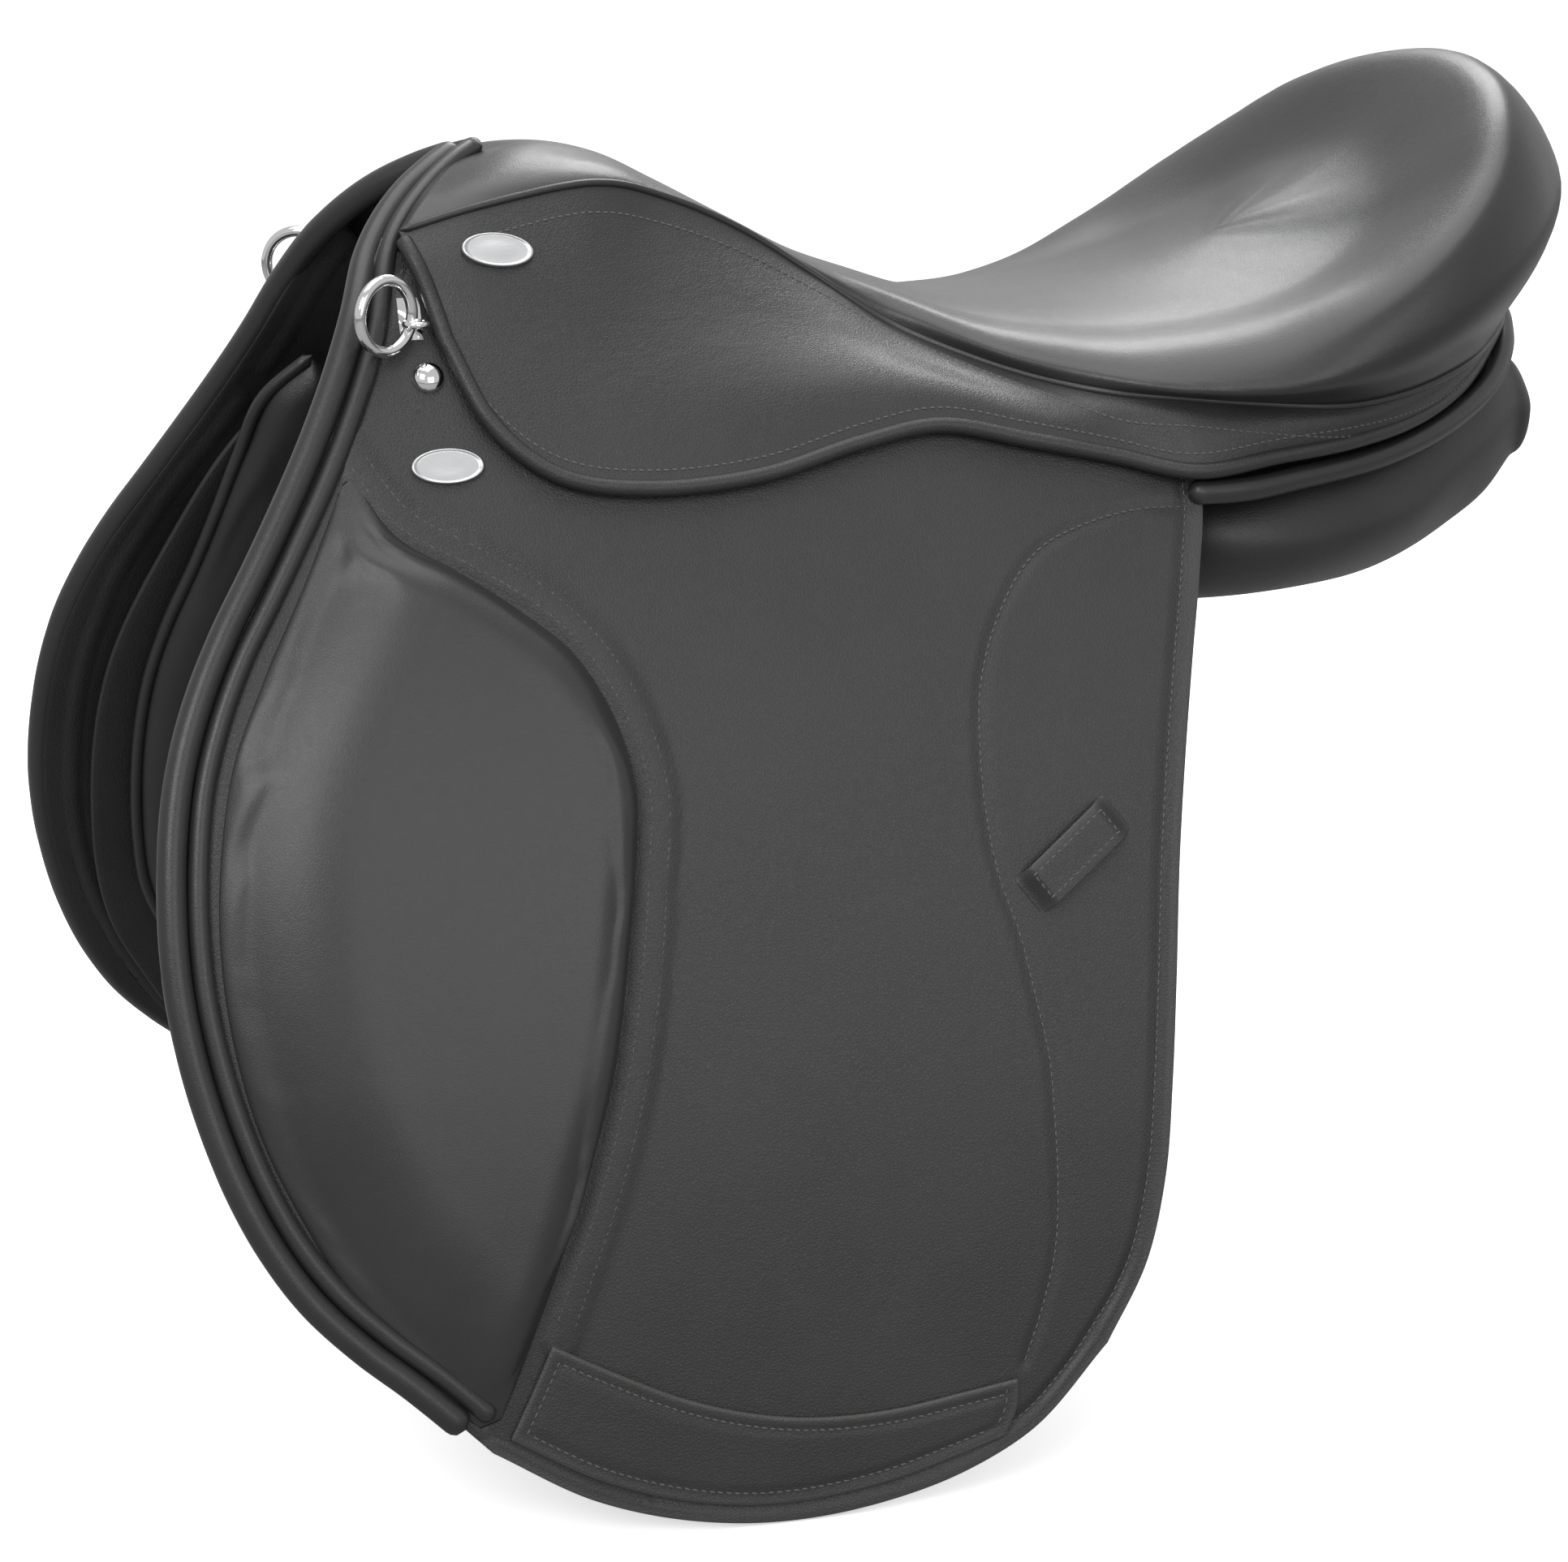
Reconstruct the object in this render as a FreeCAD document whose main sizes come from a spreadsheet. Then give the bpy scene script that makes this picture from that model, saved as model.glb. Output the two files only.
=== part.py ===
"""English saddle as an assembly of its real pieces.

Millimetres, +X towards the cantle, +Z up, near side at -Y.

The origin is the middle of the bearing surface, where the two panels rest on a back or a saddle rack.
Everything is built for the near (left) side and mirrored, except what crosses the middle.
The hanging leathers are cut from coaxial drums: one long cylinder gives the flap its splay and its curve,
and every layer under or over the flap has its own pair of radii, counted from the flap's outer face.
"""
import FreeCAD
import Part
import Sketcher
import math
import os

V = FreeCAD.Vector
Rotation = FreeCAD.Rotation
Placement = FreeCAD.Placement

doc = FreeCAD.newDocument("english_saddle")
cells = doc.addObject("Spreadsheet::Sheet", "cells")

SIZES = [
    ("seat_front", -120, "front edge of the seat, from the origin"),
    ("seat_length", 430, "front of the pommel to the back of the cantle"),
    ("seat_width", 280, "across the seat at its widest"),
    ("cantle_height", 188, "top of the cantle above the bearing surface"),
    ("seat_leather", 2, "seat cover leather"),
    ("foam_depth", 20, "seat cushion at the middle"),
    ("tree_wall", 9, "moulded seat shell of the tree"),
    ("skin_gap", 0.4, "clear space between nested layers"),
    ("fold_height", 42, "line where the flap bends, above the origin"),
    ("fold_half_width", 110.7, "half width over the flaps at that line, at the origin"),
    ("splay", 27.1, "flap from the vertical at the fold, degrees"),
    ("yaw_angle", 5.7, "flaps spread towards the cantle, degrees"),
    ("curve_radius", 1085, "drum that the flap's outer face lies on"),
    ("drum_length", 1200, "length of the construction drums"),
    ("side_reach", 330, "how far the outlines are extruded"),
    ("flap_drop", 338, "fold line to the bottom of the flap"),
    ("flap_forward", 275, "origin to the foremost point of the flap"),
    ("flap_back", 118, "origin to the rear top corner of the flap"),
    ("flap_leather", 4.5, "flap thickness with its lining"),
    ("fold_gap", 0.3, "slit at a fold line"),
    ("roll_start", 6, "piping stays this far from a fold"),
    ("roll_height", 5, "piping above the leather"),
    ("front_roll_width", 11, "outer front roll"),
    ("second_roll_width", 8, "inner front roll"),
    ("knee_height", 13, "knee block above the flap"),
    ("patch_leather", 2.2, "sewn patch at the bottom of the flap"),
    ("keeper_height", 5.5, "keeper loop above the flap"),
    ("keeper_leather", 2.4, "keeper strap"),
    ("skirt_gap", 1.4, "skirt above the flap"),
    ("skirt_leather", 4, "skirt thickness"),
    ("skirt_fold", 112, "line where the skirt bends, above the origin"),
    ("skirt_low", 51, "lowest point of the skirt, above the origin"),
    ("guard_start", 5.4, "outer face of the buckle guard below the flap's face"),
    ("guard_leather", 2.2, "buckle guard"),
    ("billet_width", 25, "billet strap"),
    ("billet_leather", 2.8, "billet strap"),
    ("layer_gap", 0.8, "clear space between the hanging layers"),
    ("billet_top", 48, "height where a billet swings"),
    ("billet_length", 222, "billet below its pivot"),
    ("billet_spacing", 42, "between neighbouring billets"),
    ("first_billet", -14, "front billet from the origin"),
    ("hole_radius", 2.5, "punched billet holes"),
    ("hole_pitch", 22, "between billet holes"),
    ("sweat_leather", 2.8, "sweat flap"),
    ("panel_pad", 17, "padded flap of the panel"),
    ("bar_length", 104, "stirrup bar"),
    ("bar_height", 17, "stirrup bar blade"),
    ("bar_blade", 6.5, "stirrup bar blade, thickness"),
    ("bar_throat", 9.5, "room for the stirrup leather behind the blade"),
    ("bar_plate", 4, "stirrup bar foot"),
    ("bar_place", -92, "middle of the stirrup bar from the origin"),
    ("bar_level", 84, "stirrup bar above the origin"),
    ("pin_radius", 2, "hinge pin of the safety catch"),
    ("pin_play", 0.05, "radial play of that pin"),
    ("ring_radius", 12.5, "dee ring, middle of the wire"),
    ("ring_wire", 2.1, "dee ring wire radius"),
    ("stud_radius", 5.8, "dome stud"),
    ("plate_long", 26, "oval trim plate"),
    ("plate_short", 13, "oval trim plate"),
    ("channel_half", 31, "half of the gullet channel between the panels"),
    ("arch_height", 124, "top of the tree's front arch"),
    ("arch_half", 54, "half width of that arch at its points"),
    ("binding_radius", 4.8, "piped top edge of the panels"),
]
for row, (alias, value, note) in enumerate(SIZES, 1):
    cells.set(f"A{row}", alias)
    cells.set(f"B{row}", str(value))
    cells.set(f"C{row}", note)
    cells.setAlias(f"B{row}", alias)
doc.recompute()


def size(alias):
    return float(cells.get(alias))


made = {}


def keep(node, shape_object):
    """Names a finished sub-part. Its label is its file name."""
    shape_object.Label = node
    made[node] = shape_object
    return shape_object


def mirrored(node, source):
    """The same piece on the far side."""
    twin = doc.addObject("Part::Mirroring", node)
    twin.Source = source
    twin.Base = V(0, 0, 0)
    twin.Normal = V(0, 1, 0)
    return keep(node, twin)


def both_sides(node, source):
    keep(node + "_left", source)
    mirrored(node + "_right", source)


def solid(name, shape):
    """A piece whose surfaces are lofted or swept by hand."""
    feature = doc.addObject("Part::Feature", name)
    feature.Shape = shape
    return feature


def at(feature, **bound):
    """Binds properties of a feature to the sheet."""
    for name, expression in bound.items():
        feature.setExpression(name, str(expression))
    return feature


# --- the drums that the hanging leathers are cut from -----------------------------------------------------

YAW = math.radians(size("yaw_angle"))
ALONG = V(math.cos(YAW), -math.sin(YAW), 0)
SPLAY = math.radians(size("splay"))


def drum(name, offset):
    """A cylinder through the flap's outer face, larger by offset (an expression)."""
    barrel = doc.addObject("Part::Cylinder", name)
    barrel.Placement = Placement(V(0, 0, 0), Rotation(V(0, 0, 1), ALONG))
    at(barrel, Radius=f"cells.curve_radius + ({offset})", Height="cells.drum_length")
    barrel.setExpression(
        "Placement.Base.x",
        "cells.curve_radius * cos(cells.splay) * sin(cells.yaw_angle)"
        " - cells.drum_length / 2 * cos(cells.yaw_angle)",
    )
    barrel.setExpression(
        "Placement.Base.y",
        "cells.curve_radius * cos(cells.splay) * cos(cells.yaw_angle)"
        " + cells.drum_length / 2 * sin(cells.yaw_angle) - cells.fold_half_width",
    )
    barrel.setExpression("Placement.Base.z", "cells.fold_height - cells.curve_radius * sin(cells.splay)")
    return barrel


AXIS_HEIGHT = size("fold_height") - size("curve_radius") * math.sin(SPLAY)
AXIS_SIDE = size("curve_radius") * math.cos(SPLAY) * math.cos(YAW) - size("fold_half_width")
AXIS_POINT = V(size("curve_radius") * math.cos(SPLAY) * math.sin(YAW), AXIS_SIDE, AXIS_HEIGHT)
OUTWARD = V(-math.sin(YAW), -math.cos(YAW), 0)


def face_point(x, z, offset=0.0):
    """Point of the near drum at x and z: on its axis plus the radius along the tilted outward way."""
    radius = size("curve_radius") + offset
    rise = z - AXIS_HEIGHT
    level = math.sqrt(radius * radius - rise * rise)
    across = (x - AXIS_POINT.x - OUTWARD.x * level) / ALONG.x
    return AXIS_POINT + ALONG * across + OUTWARD * level + V(0, 0, rise)


def face_normal(x, z):
    """Outward normal of the near drum at x and z."""
    sine = (z - AXIS_HEIGHT) / size("curve_radius")
    return OUTWARD * math.sqrt(1 - sine * sine) + V(0, 0, sine)


def face_frame(x, z, offset=0.0):
    """Local axes on the leather: X along it to the rear, -Y outwards, Z up along it."""
    inward = face_normal(x, z) * -1
    return Placement(face_point(x, z, offset), Rotation(ALONG, inward, ALONG.cross(inward), "XYZ"))


def shell(name, outer, inner):
    """The leather between two drums, whose offsets are expressions."""
    wall = doc.addObject("Part::Cut", name + "_shell")
    wall.Base = drum(name + "_outer", outer)
    wall.Tool = drum(name + "_inner", inner)
    return wall


def outline(name, *stretches):
    """A closed wire in the XZ plane from stretches of points: two are a line, more are one smooth curve."""
    edges = []
    for points in stretches:
        corners = [V(x, 0, z) for x, z in points]
        if len(corners) == 2:
            edges.append(Part.LineSegment(*corners).toShape())
        else:
            curve = Part.BSplineCurve()
            curve.interpolate(corners)
            edges.append(curve.toShape())
    return solid(name, Part.Wire(edges))


def prism(name, wire):
    """An outline drawn out sideways, past every hanging layer."""
    block = doc.addObject("Part::Extrusion", name)
    block.Base = wire
    block.DirMode = "Custom"
    block.Dir = V(0, -1, 0)
    block.Solid = True
    return at(block, LengthFwd="cells.side_reach")


def leather(name, outer, inner, *stretches):
    """A flat-cut piece bent to the drums: the shell inside its outline."""
    piece = doc.addObject("Part::Common", name)
    piece.Base = shell(name, outer, inner)
    piece.Tool = prism(name + "_cut", outline(name + "_line", *stretches))
    return piece


def less(name, base, tool):
    cut = doc.addObject("Part::Cut", name)
    cut.Base = base
    cut.Tool = tool
    return cut


def together(name, *parts):
    group = doc.addObject("Part::MultiFuse", name)
    group.Shapes = list(parts)
    return group


def box_at(name, place, origin, **bound):
    """A block in a local frame, its corner at origin there."""
    block = doc.addObject("Part::Box", name)
    at(block, **bound)
    block.Placement = place.multiply(Placement(V(*origin), Rotation()))
    return block


def rod_at(name, place, origin, direction, radius, length):
    """A round bar in a local frame. Radius and length are expressions."""
    bar = doc.addObject("Part::Cylinder", name)
    at(bar, Radius=radius, Height=length)
    bar.Placement = place.multiply(Placement(V(*origin), Rotation(V(0, 0, 1), V(*direction))))
    return bar


# --- seat: a row of stations from pommel to cantle --------------------------------------------------------
# Each station is a share of the seat's length, the crown's height, half width and height of the rim where the
# surface rolls over, and half width and height of the main seam. Widths are shares of half the seat's width.

CANTLE = size("cantle_height")
SEAT_ROWS = [
    (0.00, 161, 0.32, 154, 0.31, 150),
    (0.05, 166, 0.31, 160, 0.29, 156),
    (0.12, 160, 0.27, 155, 0.25, 152),
    (0.19, 146, 0.23, 141.5, 0.22, 138),
    (0.28, 124, 0.26, 117, 0.24, 114),
    (0.35, 112, 0.36, 99, 0.34, 94),
    (0.42, 104, 0.57, 88, 0.54, 83),
    (0.49, 101, 0.74, 83, 0.70, 78),
    (0.57, 105, 0.88, 82, 0.83, 75),
    (0.65, 116, 0.97, 90, 0.87, 73),
    (0.73, 132, 1.00, 106, 0.85, 73),
    (0.80, 150, 0.97, 127, 0.77, 75),
    (0.86, CANTLE - 20, 0.87, 149, 0.64, 80),
    (0.92, CANTLE - 6, 0.68, 166, 0.48, 86),
    (0.96, CANTLE, 0.48, 172, 0.31, 91),
    (1.00, CANTLE - 18, 0.16, 160, 0.10, 98),
]


def slope(row, column):
    """Slope of a column of the seat's table at a row, from its neighbours, weighted by nearness."""
    here = SEAT_ROWS[row]
    grades = []
    for other in (row - 1, row + 1):
        if 0 <= other < len(SEAT_ROWS):
            there = SEAT_ROWS[other]
            step = there[0] - here[0]
            grades.append((abs(step), (there[column] - here[column]) / step))
    if len(grades) == 1:
        return grades[0][1]
    (near, grade), (far, other_grade) = grades
    return (grade * far + other_grade * near) / (near + far)


def station_between(row, t):
    """A station between two rows of the table, on cubic Hermite curves."""
    low, high = SEAT_ROWS[row], SEAT_ROWS[row + 1]
    step = high[0] - low[0]
    values = [low[0] + t * step]
    for column in range(1, len(low)):
        values.append(
            low[column] * (1 + 2 * t) * (1 - t) ** 2
            + high[column] * t**2 * (3 - 2 * t)
            + slope(row, column) * step * t * (1 - t) ** 2
            - slope(row + 1, column) * step * t**2 * (1 - t)
        )
    return tuple(values)


PER_ROW = 3
STATIONS = []
for seat_row in range(len(SEAT_ROWS) - 1):
    STATIONS += [station_between(seat_row, step / PER_ROW) for step in range(PER_ROW)]
STATIONS.append(SEAT_ROWS[-1])


def span(start, end):
    """The stations between two shares of the seat's length."""
    return [station for station in STATIONS if start - 1e-6 <= station[0] <= end + 1e-6]


def share_x(station):
    return size("seat_front") + station[0] * size("seat_length")


def seam_edge(station):
    """Half width and height of the main seam at a station."""
    return station[4] * size("seat_width") / 2, station[5]


REAR_START = 115
REAR_STRETCH = (size("seat_front") + size("seat_length") - REAR_START) / (310 - REAR_START)
REAR_SPREAD = size("seat_width") / 280


def rear_place(x, y=0):
    """Places behind the flaps are drawn at the usual seat and follow its length and width."""
    if x <= REAR_START:
        return x, y
    return REAR_START + (x - REAR_START) * REAR_STRETCH, y * REAR_SPREAD


def top_line(station, inset):
    """The seat's surface from seam to seam, or a line inset from it by a thickness along the normals."""
    share, crown, rim, rim_height, seam, seam_height = station
    rim_half = rim * size("seat_width") / 2
    seam_half = seam * size("seat_width") / 2
    side = [
        (-seam_half, seam_height),
        (-rim_half, rim_height),
        (-rim_half * 0.55, crown - 0.3 * (crown - rim_height)),
    ]
    points = side + [(0, crown)] + [(-y, z) for y, z in reversed(side)]
    curve = Part.BSplineCurve()
    curve.interpolate([V(0, y, z) for y, z in points])
    start = curve.FirstParameter
    reach = curve.LastParameter - start
    inner = []
    for step in range(OFFSET_STEPS + 1):
        place = curve.value(start + reach * step / OFFSET_STEPS)
        run = curve.tangent(start + reach * step / OFFSET_STEPS)[0]
        if step in (0, OFFSET_STEPS):
            inner.append((place.y - math.copysign(inset / abs(run.z), place.y), place.z))
        else:
            inner.append((place.y + run.z * inset, place.z - run.y * inset))
    return inner


def hammock(station, depth, inset):
    """A bow parallel to the underside of the foam: depth below it, its ends inset from the seam."""
    half, height = seam_edge(station)
    reach = half - inset * STEEPEST
    middle = station[1] - FOAM_LOW
    rise = (height - HEM - middle) * (reach / half) ** 2
    edge = min(middle + rise, height - HEM / 2) - depth
    return [(-reach, edge), (0, middle - depth), (reach, edge)]


def section(station, upper, lower):
    """A closed section at a station between an upper and a lower row of points."""
    x = share_x(station)
    curves = []
    for row_points in (upper, lower):
        curve = Part.BSplineCurve()
        places = [step / (len(row_points) - 1) for step in range(len(row_points))]
        curve.interpolate(Points=[V(x, y, z) for y, z in row_points], Parameters=places)
        curves.append(curve)
    top, low = curves
    right = Part.LineSegment(top.EndPoint, low.EndPoint).toShape()
    left = Part.LineSegment(low.StartPoint, top.StartPoint).toShape()
    return Part.Wire([top.toShape(), right, low.toShape(), left])


def seat_layer(name, stations, upper, lower, ruled=True):
    wires = [section(s, upper(s), lower(s)) for s in stations]
    return solid(name, Part.makeLoft(wires, True, ruled))


OFFSET_STEPS = 16
STEEPEST = 1.8
HEM = 1
WEB = 1.2
FOAM_TOP = size("seat_leather") + 3 * size("skin_gap")
FOAM_LOW = FOAM_TOP + size("foam_depth")
WEB_DROP = size("skin_gap") + 1
TREE_DROP = WEB_DROP + WEB + size("skin_gap")
PLATE_DROP = TREE_DROP + size("tree_wall") + size("skin_gap")
TREE_INSET = (FOAM_TOP * STEEPEST + size("skirt_leather") + 1) / STEEPEST


def bow(name, stations, drop, thickness):
    """A plain layer of one thickness under the foam."""
    return seat_layer(
        name,
        stations,
        lambda s: hammock(s, drop, TREE_INSET),
        lambda s: hammock(s, drop + thickness, TREE_INSET),
    )


seat_cover = seat_layer(
    "cover",
    STATIONS,
    lambda s: top_line(s, 0),
    lambda s: top_line(s, size("seat_leather")),
    ruled=False,
)
keep("seat_cover", seat_cover)
seat_foam = seat_layer(
    "foam",
    span(0, 0.96),
    lambda s: top_line(s, FOAM_TOP),
    lambda s: hammock(s, 0, FOAM_TOP),
)
keep("seat_foam", seat_foam)
keep("seat_webbing", bow("webbing", span(0.19, 0.73), WEB_DROP, WEB))
keep("tree", bow("tree", span(0.05, 0.92), TREE_DROP, size("tree_wall")))
keep("cantle_plate", bow("cantle_plate", span(0.73, 0.86), PLATE_DROP, 1.5))


def spring_section(station):
    """A leaf spring 14 wide and 2 thick, under the near rail of the tree."""
    side, edge = hammock(station, PLATE_DROP, TREE_INSET)[2]
    middle = station[1] - FOAM_LOW - PLATE_DROP
    slope = (edge - middle) / side
    level = middle + 0.3 * (edge - middle) - 3
    corners = [(-7, 0), (7, 0), (7, -2), (-7, -2), (-7, 0)]
    points = [V(share_x(station), y - 0.55 * side, level + z - y * slope) for y, z in corners]
    return Part.makePolygon(points)


spring = solid("spring", Part.makeLoft([spring_section(s) for s in span(0.19, 0.65)], True, True))
both_sides("tree_spring", spring)


# --- front arch of the tree and its steel head plate ------------------------------------------------------

def arch(node, front, depth, inner, outer):
    """An arch across the withers: a sketch between two three-point arcs, padded towards the cantle."""
    body = doc.addObject("PartDesign::Body", node)
    side_plane = [f for f in body.Origin.OriginFeatures if f.Role == "YZ_Plane"][0]
    sketch = body.newObject("Sketcher::SketchObject", node + "_sketch")
    sketch.AttachmentSupport = (side_plane, [""])
    sketch.MapMode = "FlatFace"
    sketch.AttachmentOffset = Placement(V(0, 0, front), Rotation())
    half = size("arch_half")
    foot = size("bar_level") - size("bar_height")
    top = size("arch_height")
    rows = []
    for step in (outer, inner):
        rows.append([V(-half + step, foot, 0), V(0, top - step, 0), V(half - step, foot, 0)])
    for left, crown, right in rows:
        sketch.addGeometry(Part.Arc(left, crown, right), False)
    sketch.addGeometry(Part.LineSegment(rows[0][0], rows[1][0]), False)
    sketch.addGeometry(Part.LineSegment(rows[0][2], rows[1][2]), False)
    pad = body.newObject("PartDesign::Pad", node + "_pad")
    pad.Profile = sketch
    pad.Length = depth
    return keep(node, body)


ARCH_WALL = 10
PLATE_WALL = 3
ARCH_FRONT = size("bar_place") - size("bar_length") / 4
ARCH_DEPTH = size("bar_length") / 2
arch("tree_head", ARCH_FRONT, ARCH_DEPTH, ARCH_WALL, 0)
arch("gullet_plate", ARCH_FRONT + 4, ARCH_DEPTH - 8, ARCH_WALL + 0.2 + PLATE_WALL, ARCH_WALL + 0.2)


# --- skirts -----------------------------------------------------------------------------------------------
# The skirt bends along a slanting line from its front corner to the waist.
# The jockey is the fixed leather above it.

SKIRT_OUT = "cells.skirt_gap + cells.skirt_leather"
SKIRT_FACE = size("skirt_gap") + size("skirt_leather")
BEND_FRONT = (-153, size("skirt_fold") + 6)
BEND_REAR = (25, size("skirt_low") + 15)
BEND_SLOPE = (BEND_REAR[1] - BEND_FRONT[1]) / (BEND_REAR[0] - BEND_FRONT[0])
LOW = size("skirt_low")


def bend_height(x):
    """Height of the skirt's bend line."""
    return BEND_FRONT[1] + BEND_SLOPE * (x - BEND_FRONT[0])


REAR_EDGE = [
    (25, 0, LOW + 15),
    (48, 0, LOW + 12),
    (84, 0, LOW + 3),
    (115, 0, LOW - 1),
    (*rear_place(129, 128), LOW + 3),
    (*rear_place(179, 123), LOW + 5),
    (*rear_place(218, 107), LOW + 10),
    (*rear_place(250, 88), LOW + 20),
    (*rear_place(285, 45), LOW + 33),
]


def lower_edge(x):
    """Half width and height of the jockey's lower edge. Rows with no half width lie on the drum."""
    gap = size("fold_gap") / 2
    if x <= REAR_EDGE[0][0]:
        level = bend_height(x) + gap
        return -face_point(x, level, SKIRT_FACE).y, level
    for before, after in zip(REAR_EDGE, REAR_EDGE[1:]):
        if x <= after[0] + 1e-6:
            part = (x - before[0]) / (after[0] - before[0])
            ends = []
            for place, half, level in (before, after):
                ends.append((half or -face_point(place, level, SKIRT_FACE).y, level))
            half = ends[0][0] + part * (ends[1][0] - ends[0][0])
            return half, ends[0][1] + part * (ends[1][1] - ends[0][1])
    raise ValueError(f"no lower edge at {x}")


ROOT_GAP = size("skin_gap")
ROOT_DROP = 3 * size("skin_gap")


def jockey_section(x, seam_half, seam_height):
    """Four corners of the jockey: it starts under the seam, its root cut level where it hangs steeply."""
    start = seam_half + ROOT_GAP
    top_height = seam_height - ROOT_DROP
    low_half, low_height = lower_edge(x)
    run = V(0, low_half - start, low_height - top_height).normalize()
    inward = V(0, run.z, -run.y) * size("skirt_leather")
    root = (start + inward.y, top_height + inward.z)
    if run.y > 0.5:
        root = (start, root[1] - inward.y * run.z / run.y)
    elif run.y < 0:
        root = (start + size("skirt_leather") / run.z, top_height)
    hem = (low_half + inward.y, low_height + inward.z)
    if x <= REAR_EDGE[1][0]:
        hem = (-face_point(x, low_height, size("skirt_gap")).y, low_height)
    corners = [
        V(x, -start, top_height),
        V(x, -low_half, low_height),
        V(x, -hem[0], hem[1]),
        V(x, -root[0], root[1]),
    ]
    return Part.makePolygon(corners + corners[:1])


front_corners = [(-158, 40, 142), (-140, 42, 147)]
jockey_wires = [jockey_section(*corner) for corner in front_corners]
for station in span(0, 0.86):
    jockey_wires.append(jockey_section(share_x(station), *seam_edge(station)))
both_sides("jockey", solid("jockey", Part.makeLoft(jockey_wires, True, True)))

SKIRT_EDGE = [
    (8, LOW + 13),
    (-14, LOW + 10),
    (-44, LOW + 2.5),
    (-76, LOW),
    (-111, LOW + 4),
    (-131, LOW + 13),
    (-143, LOW + 29),
    (-149, LOW + 44),
    (-151, bend_height(-151) - size("fold_gap")),
]
skirt_top = bend_height(8) - size("fold_gap")
skirt = leather(
    "skirt",
    SKIRT_OUT,
    "cells.skirt_gap",
    SKIRT_EDGE,
    [SKIRT_EDGE[-1], (8, skirt_top)],
    [(8, skirt_top), SKIRT_EDGE[0]],
)
both_sides("skirt", skirt)


def shifted(points, distance):
    """A row of points moved sideways, to the left of its direction."""
    moved = []
    for place, (x, z) in enumerate(points):
        before = points[max(place - 1, 0)]
        after = points[min(place + 1, len(points) - 1)]
        run = V(after[0] - before[0], after[1] - before[1], 0).normalize()
        moved.append((x - run.y * distance, z + run.x * distance))
    return moved


def band(name, outer, inner, edge, near, far):
    """A strip along an edge, between two distances from it."""
    first = shifted(edge, near)
    second = shifted(edge, far)
    second.reverse()
    return leather(name, outer, inner, first, [first[-1], second[0]], second, [second[-1], first[0]])


ROLL_OUT = SKIRT_OUT + " + cells.roll_height / 2"
skirt_roll = band("skirt_roll", ROLL_OUT, SKIRT_OUT + " + 0.05", SKIRT_EDGE[1:-1], -0.5, -8.5)
both_sides("skirt_roll", skirt_roll)


# --- flaps: the fixed top under the skirt, and the loose flap below the fold ------------------------------

def flap_at(x, z):
    """Outline points are drawn at the usual flap and follow its reach forward, back and down."""
    wide = size("flap_forward") / 275 if x < 0 else size("flap_back") / 118
    deep = size("flap_drop") / 338
    return x * wide, size("fold_height") + (z - 42) * deep


FOLD = size("fold_height")
SLIT = size("fold_gap") / 2
FRONT_EDGE = [flap_at(*p) for p in [
    (-226, 42), (-243, 16), (-262, -18), (-272, -54), (-275, -94),
    (-270, -135), (-260, -168), (-243, -201), (-216, -231), (-179, -262),
]]
BOTTOM_EDGE = [flap_at(*p) for p in [
    (-179, -262), (-143, -281), (-90, -296), (-40, -293), (2, -281), (37, -255),
    (61, -217), (72, -180), (82, -122), (96, -45), (112, 16), (118, 42),
]]
FRONT_EDGE[0] = (FRONT_EDGE[0][0], FOLD - SLIT)
BOTTOM_EDGE[-1] = (BOTTOM_EDGE[-1][0], FOLD - SLIT)

flap = leather("flap", "0", "-cells.flap_leather", FRONT_EDGE, BOTTOM_EDGE, [BOTTOM_EDGE[-1], FRONT_EDGE[0]])
both_sides("flap", flap)

roll_edge = [(x, min(z, FOLD - size("roll_start"))) for x, z in FRONT_EDGE]
outer_roll = band("outer_roll", "cells.roll_height", "0.05", roll_edge, 0.2, size("front_roll_width"))
second_start = size("front_roll_width") + 1
inner_roll = band(
    "inner_roll",
    "cells.roll_height * 0.7",
    "0.05",
    roll_edge[:-1],
    second_start,
    second_start + size("second_roll_width"),
)
both_sides("front_rolls", together("front_roll_pair", outer_roll, inner_roll))

KNEE_TOP = FOLD - 18
knee_front = [p for p in shifted(FRONT_EDGE, second_start + size("second_roll_width") + 3) if p[1] < KNEE_TOP]
knee_front[-1] = flap_at(-176, -244)
knee_front.insert(0, (knee_front[0][0] + 16, KNEE_TOP))
knee_back = [flap_at(*p) for p in [
    (-168, -246), (-150, -198), (-125, -135), (-109, -66), (-107, -40), (-113, -12), (-124, 6), (-142, 20),
]]
knee_back.append((knee_back[-1][0] - 8, KNEE_TOP))
knee = leather(
    "knee",
    "cells.knee_height",
    "0.05",
    knee_front,
    [knee_front[-1], knee_back[0]],
    knee_back,
    [knee_back[-1], knee_front[0]],
)
both_sides("knee_block", knee)

patch_top = [flap_at(*p) for p in [
    (-154, -223), (-133, -237), (-108, -249), (-71, -259), (-35, -260), (12, -254),
]]
patch_low = [flap_at(*p) for p in [(6, -274), (-40, -289), (-90, -292), (-138, -279), (-168, -261)]]
patch = leather(
    "patch",
    "cells.patch_leather",
    "0.05",
    patch_top,
    [patch_top[-1], patch_low[0]],
    patch_low,
    [patch_low[-1], patch_top[0]],
)
both_sides("bottom_patch", patch)

KEEPER_MIDDLE = flap_at(49, -76)
KEEPER_TURN = math.radians(36)
KEEPER_LONG = 44
KEEPER_WIDE = 15


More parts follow.
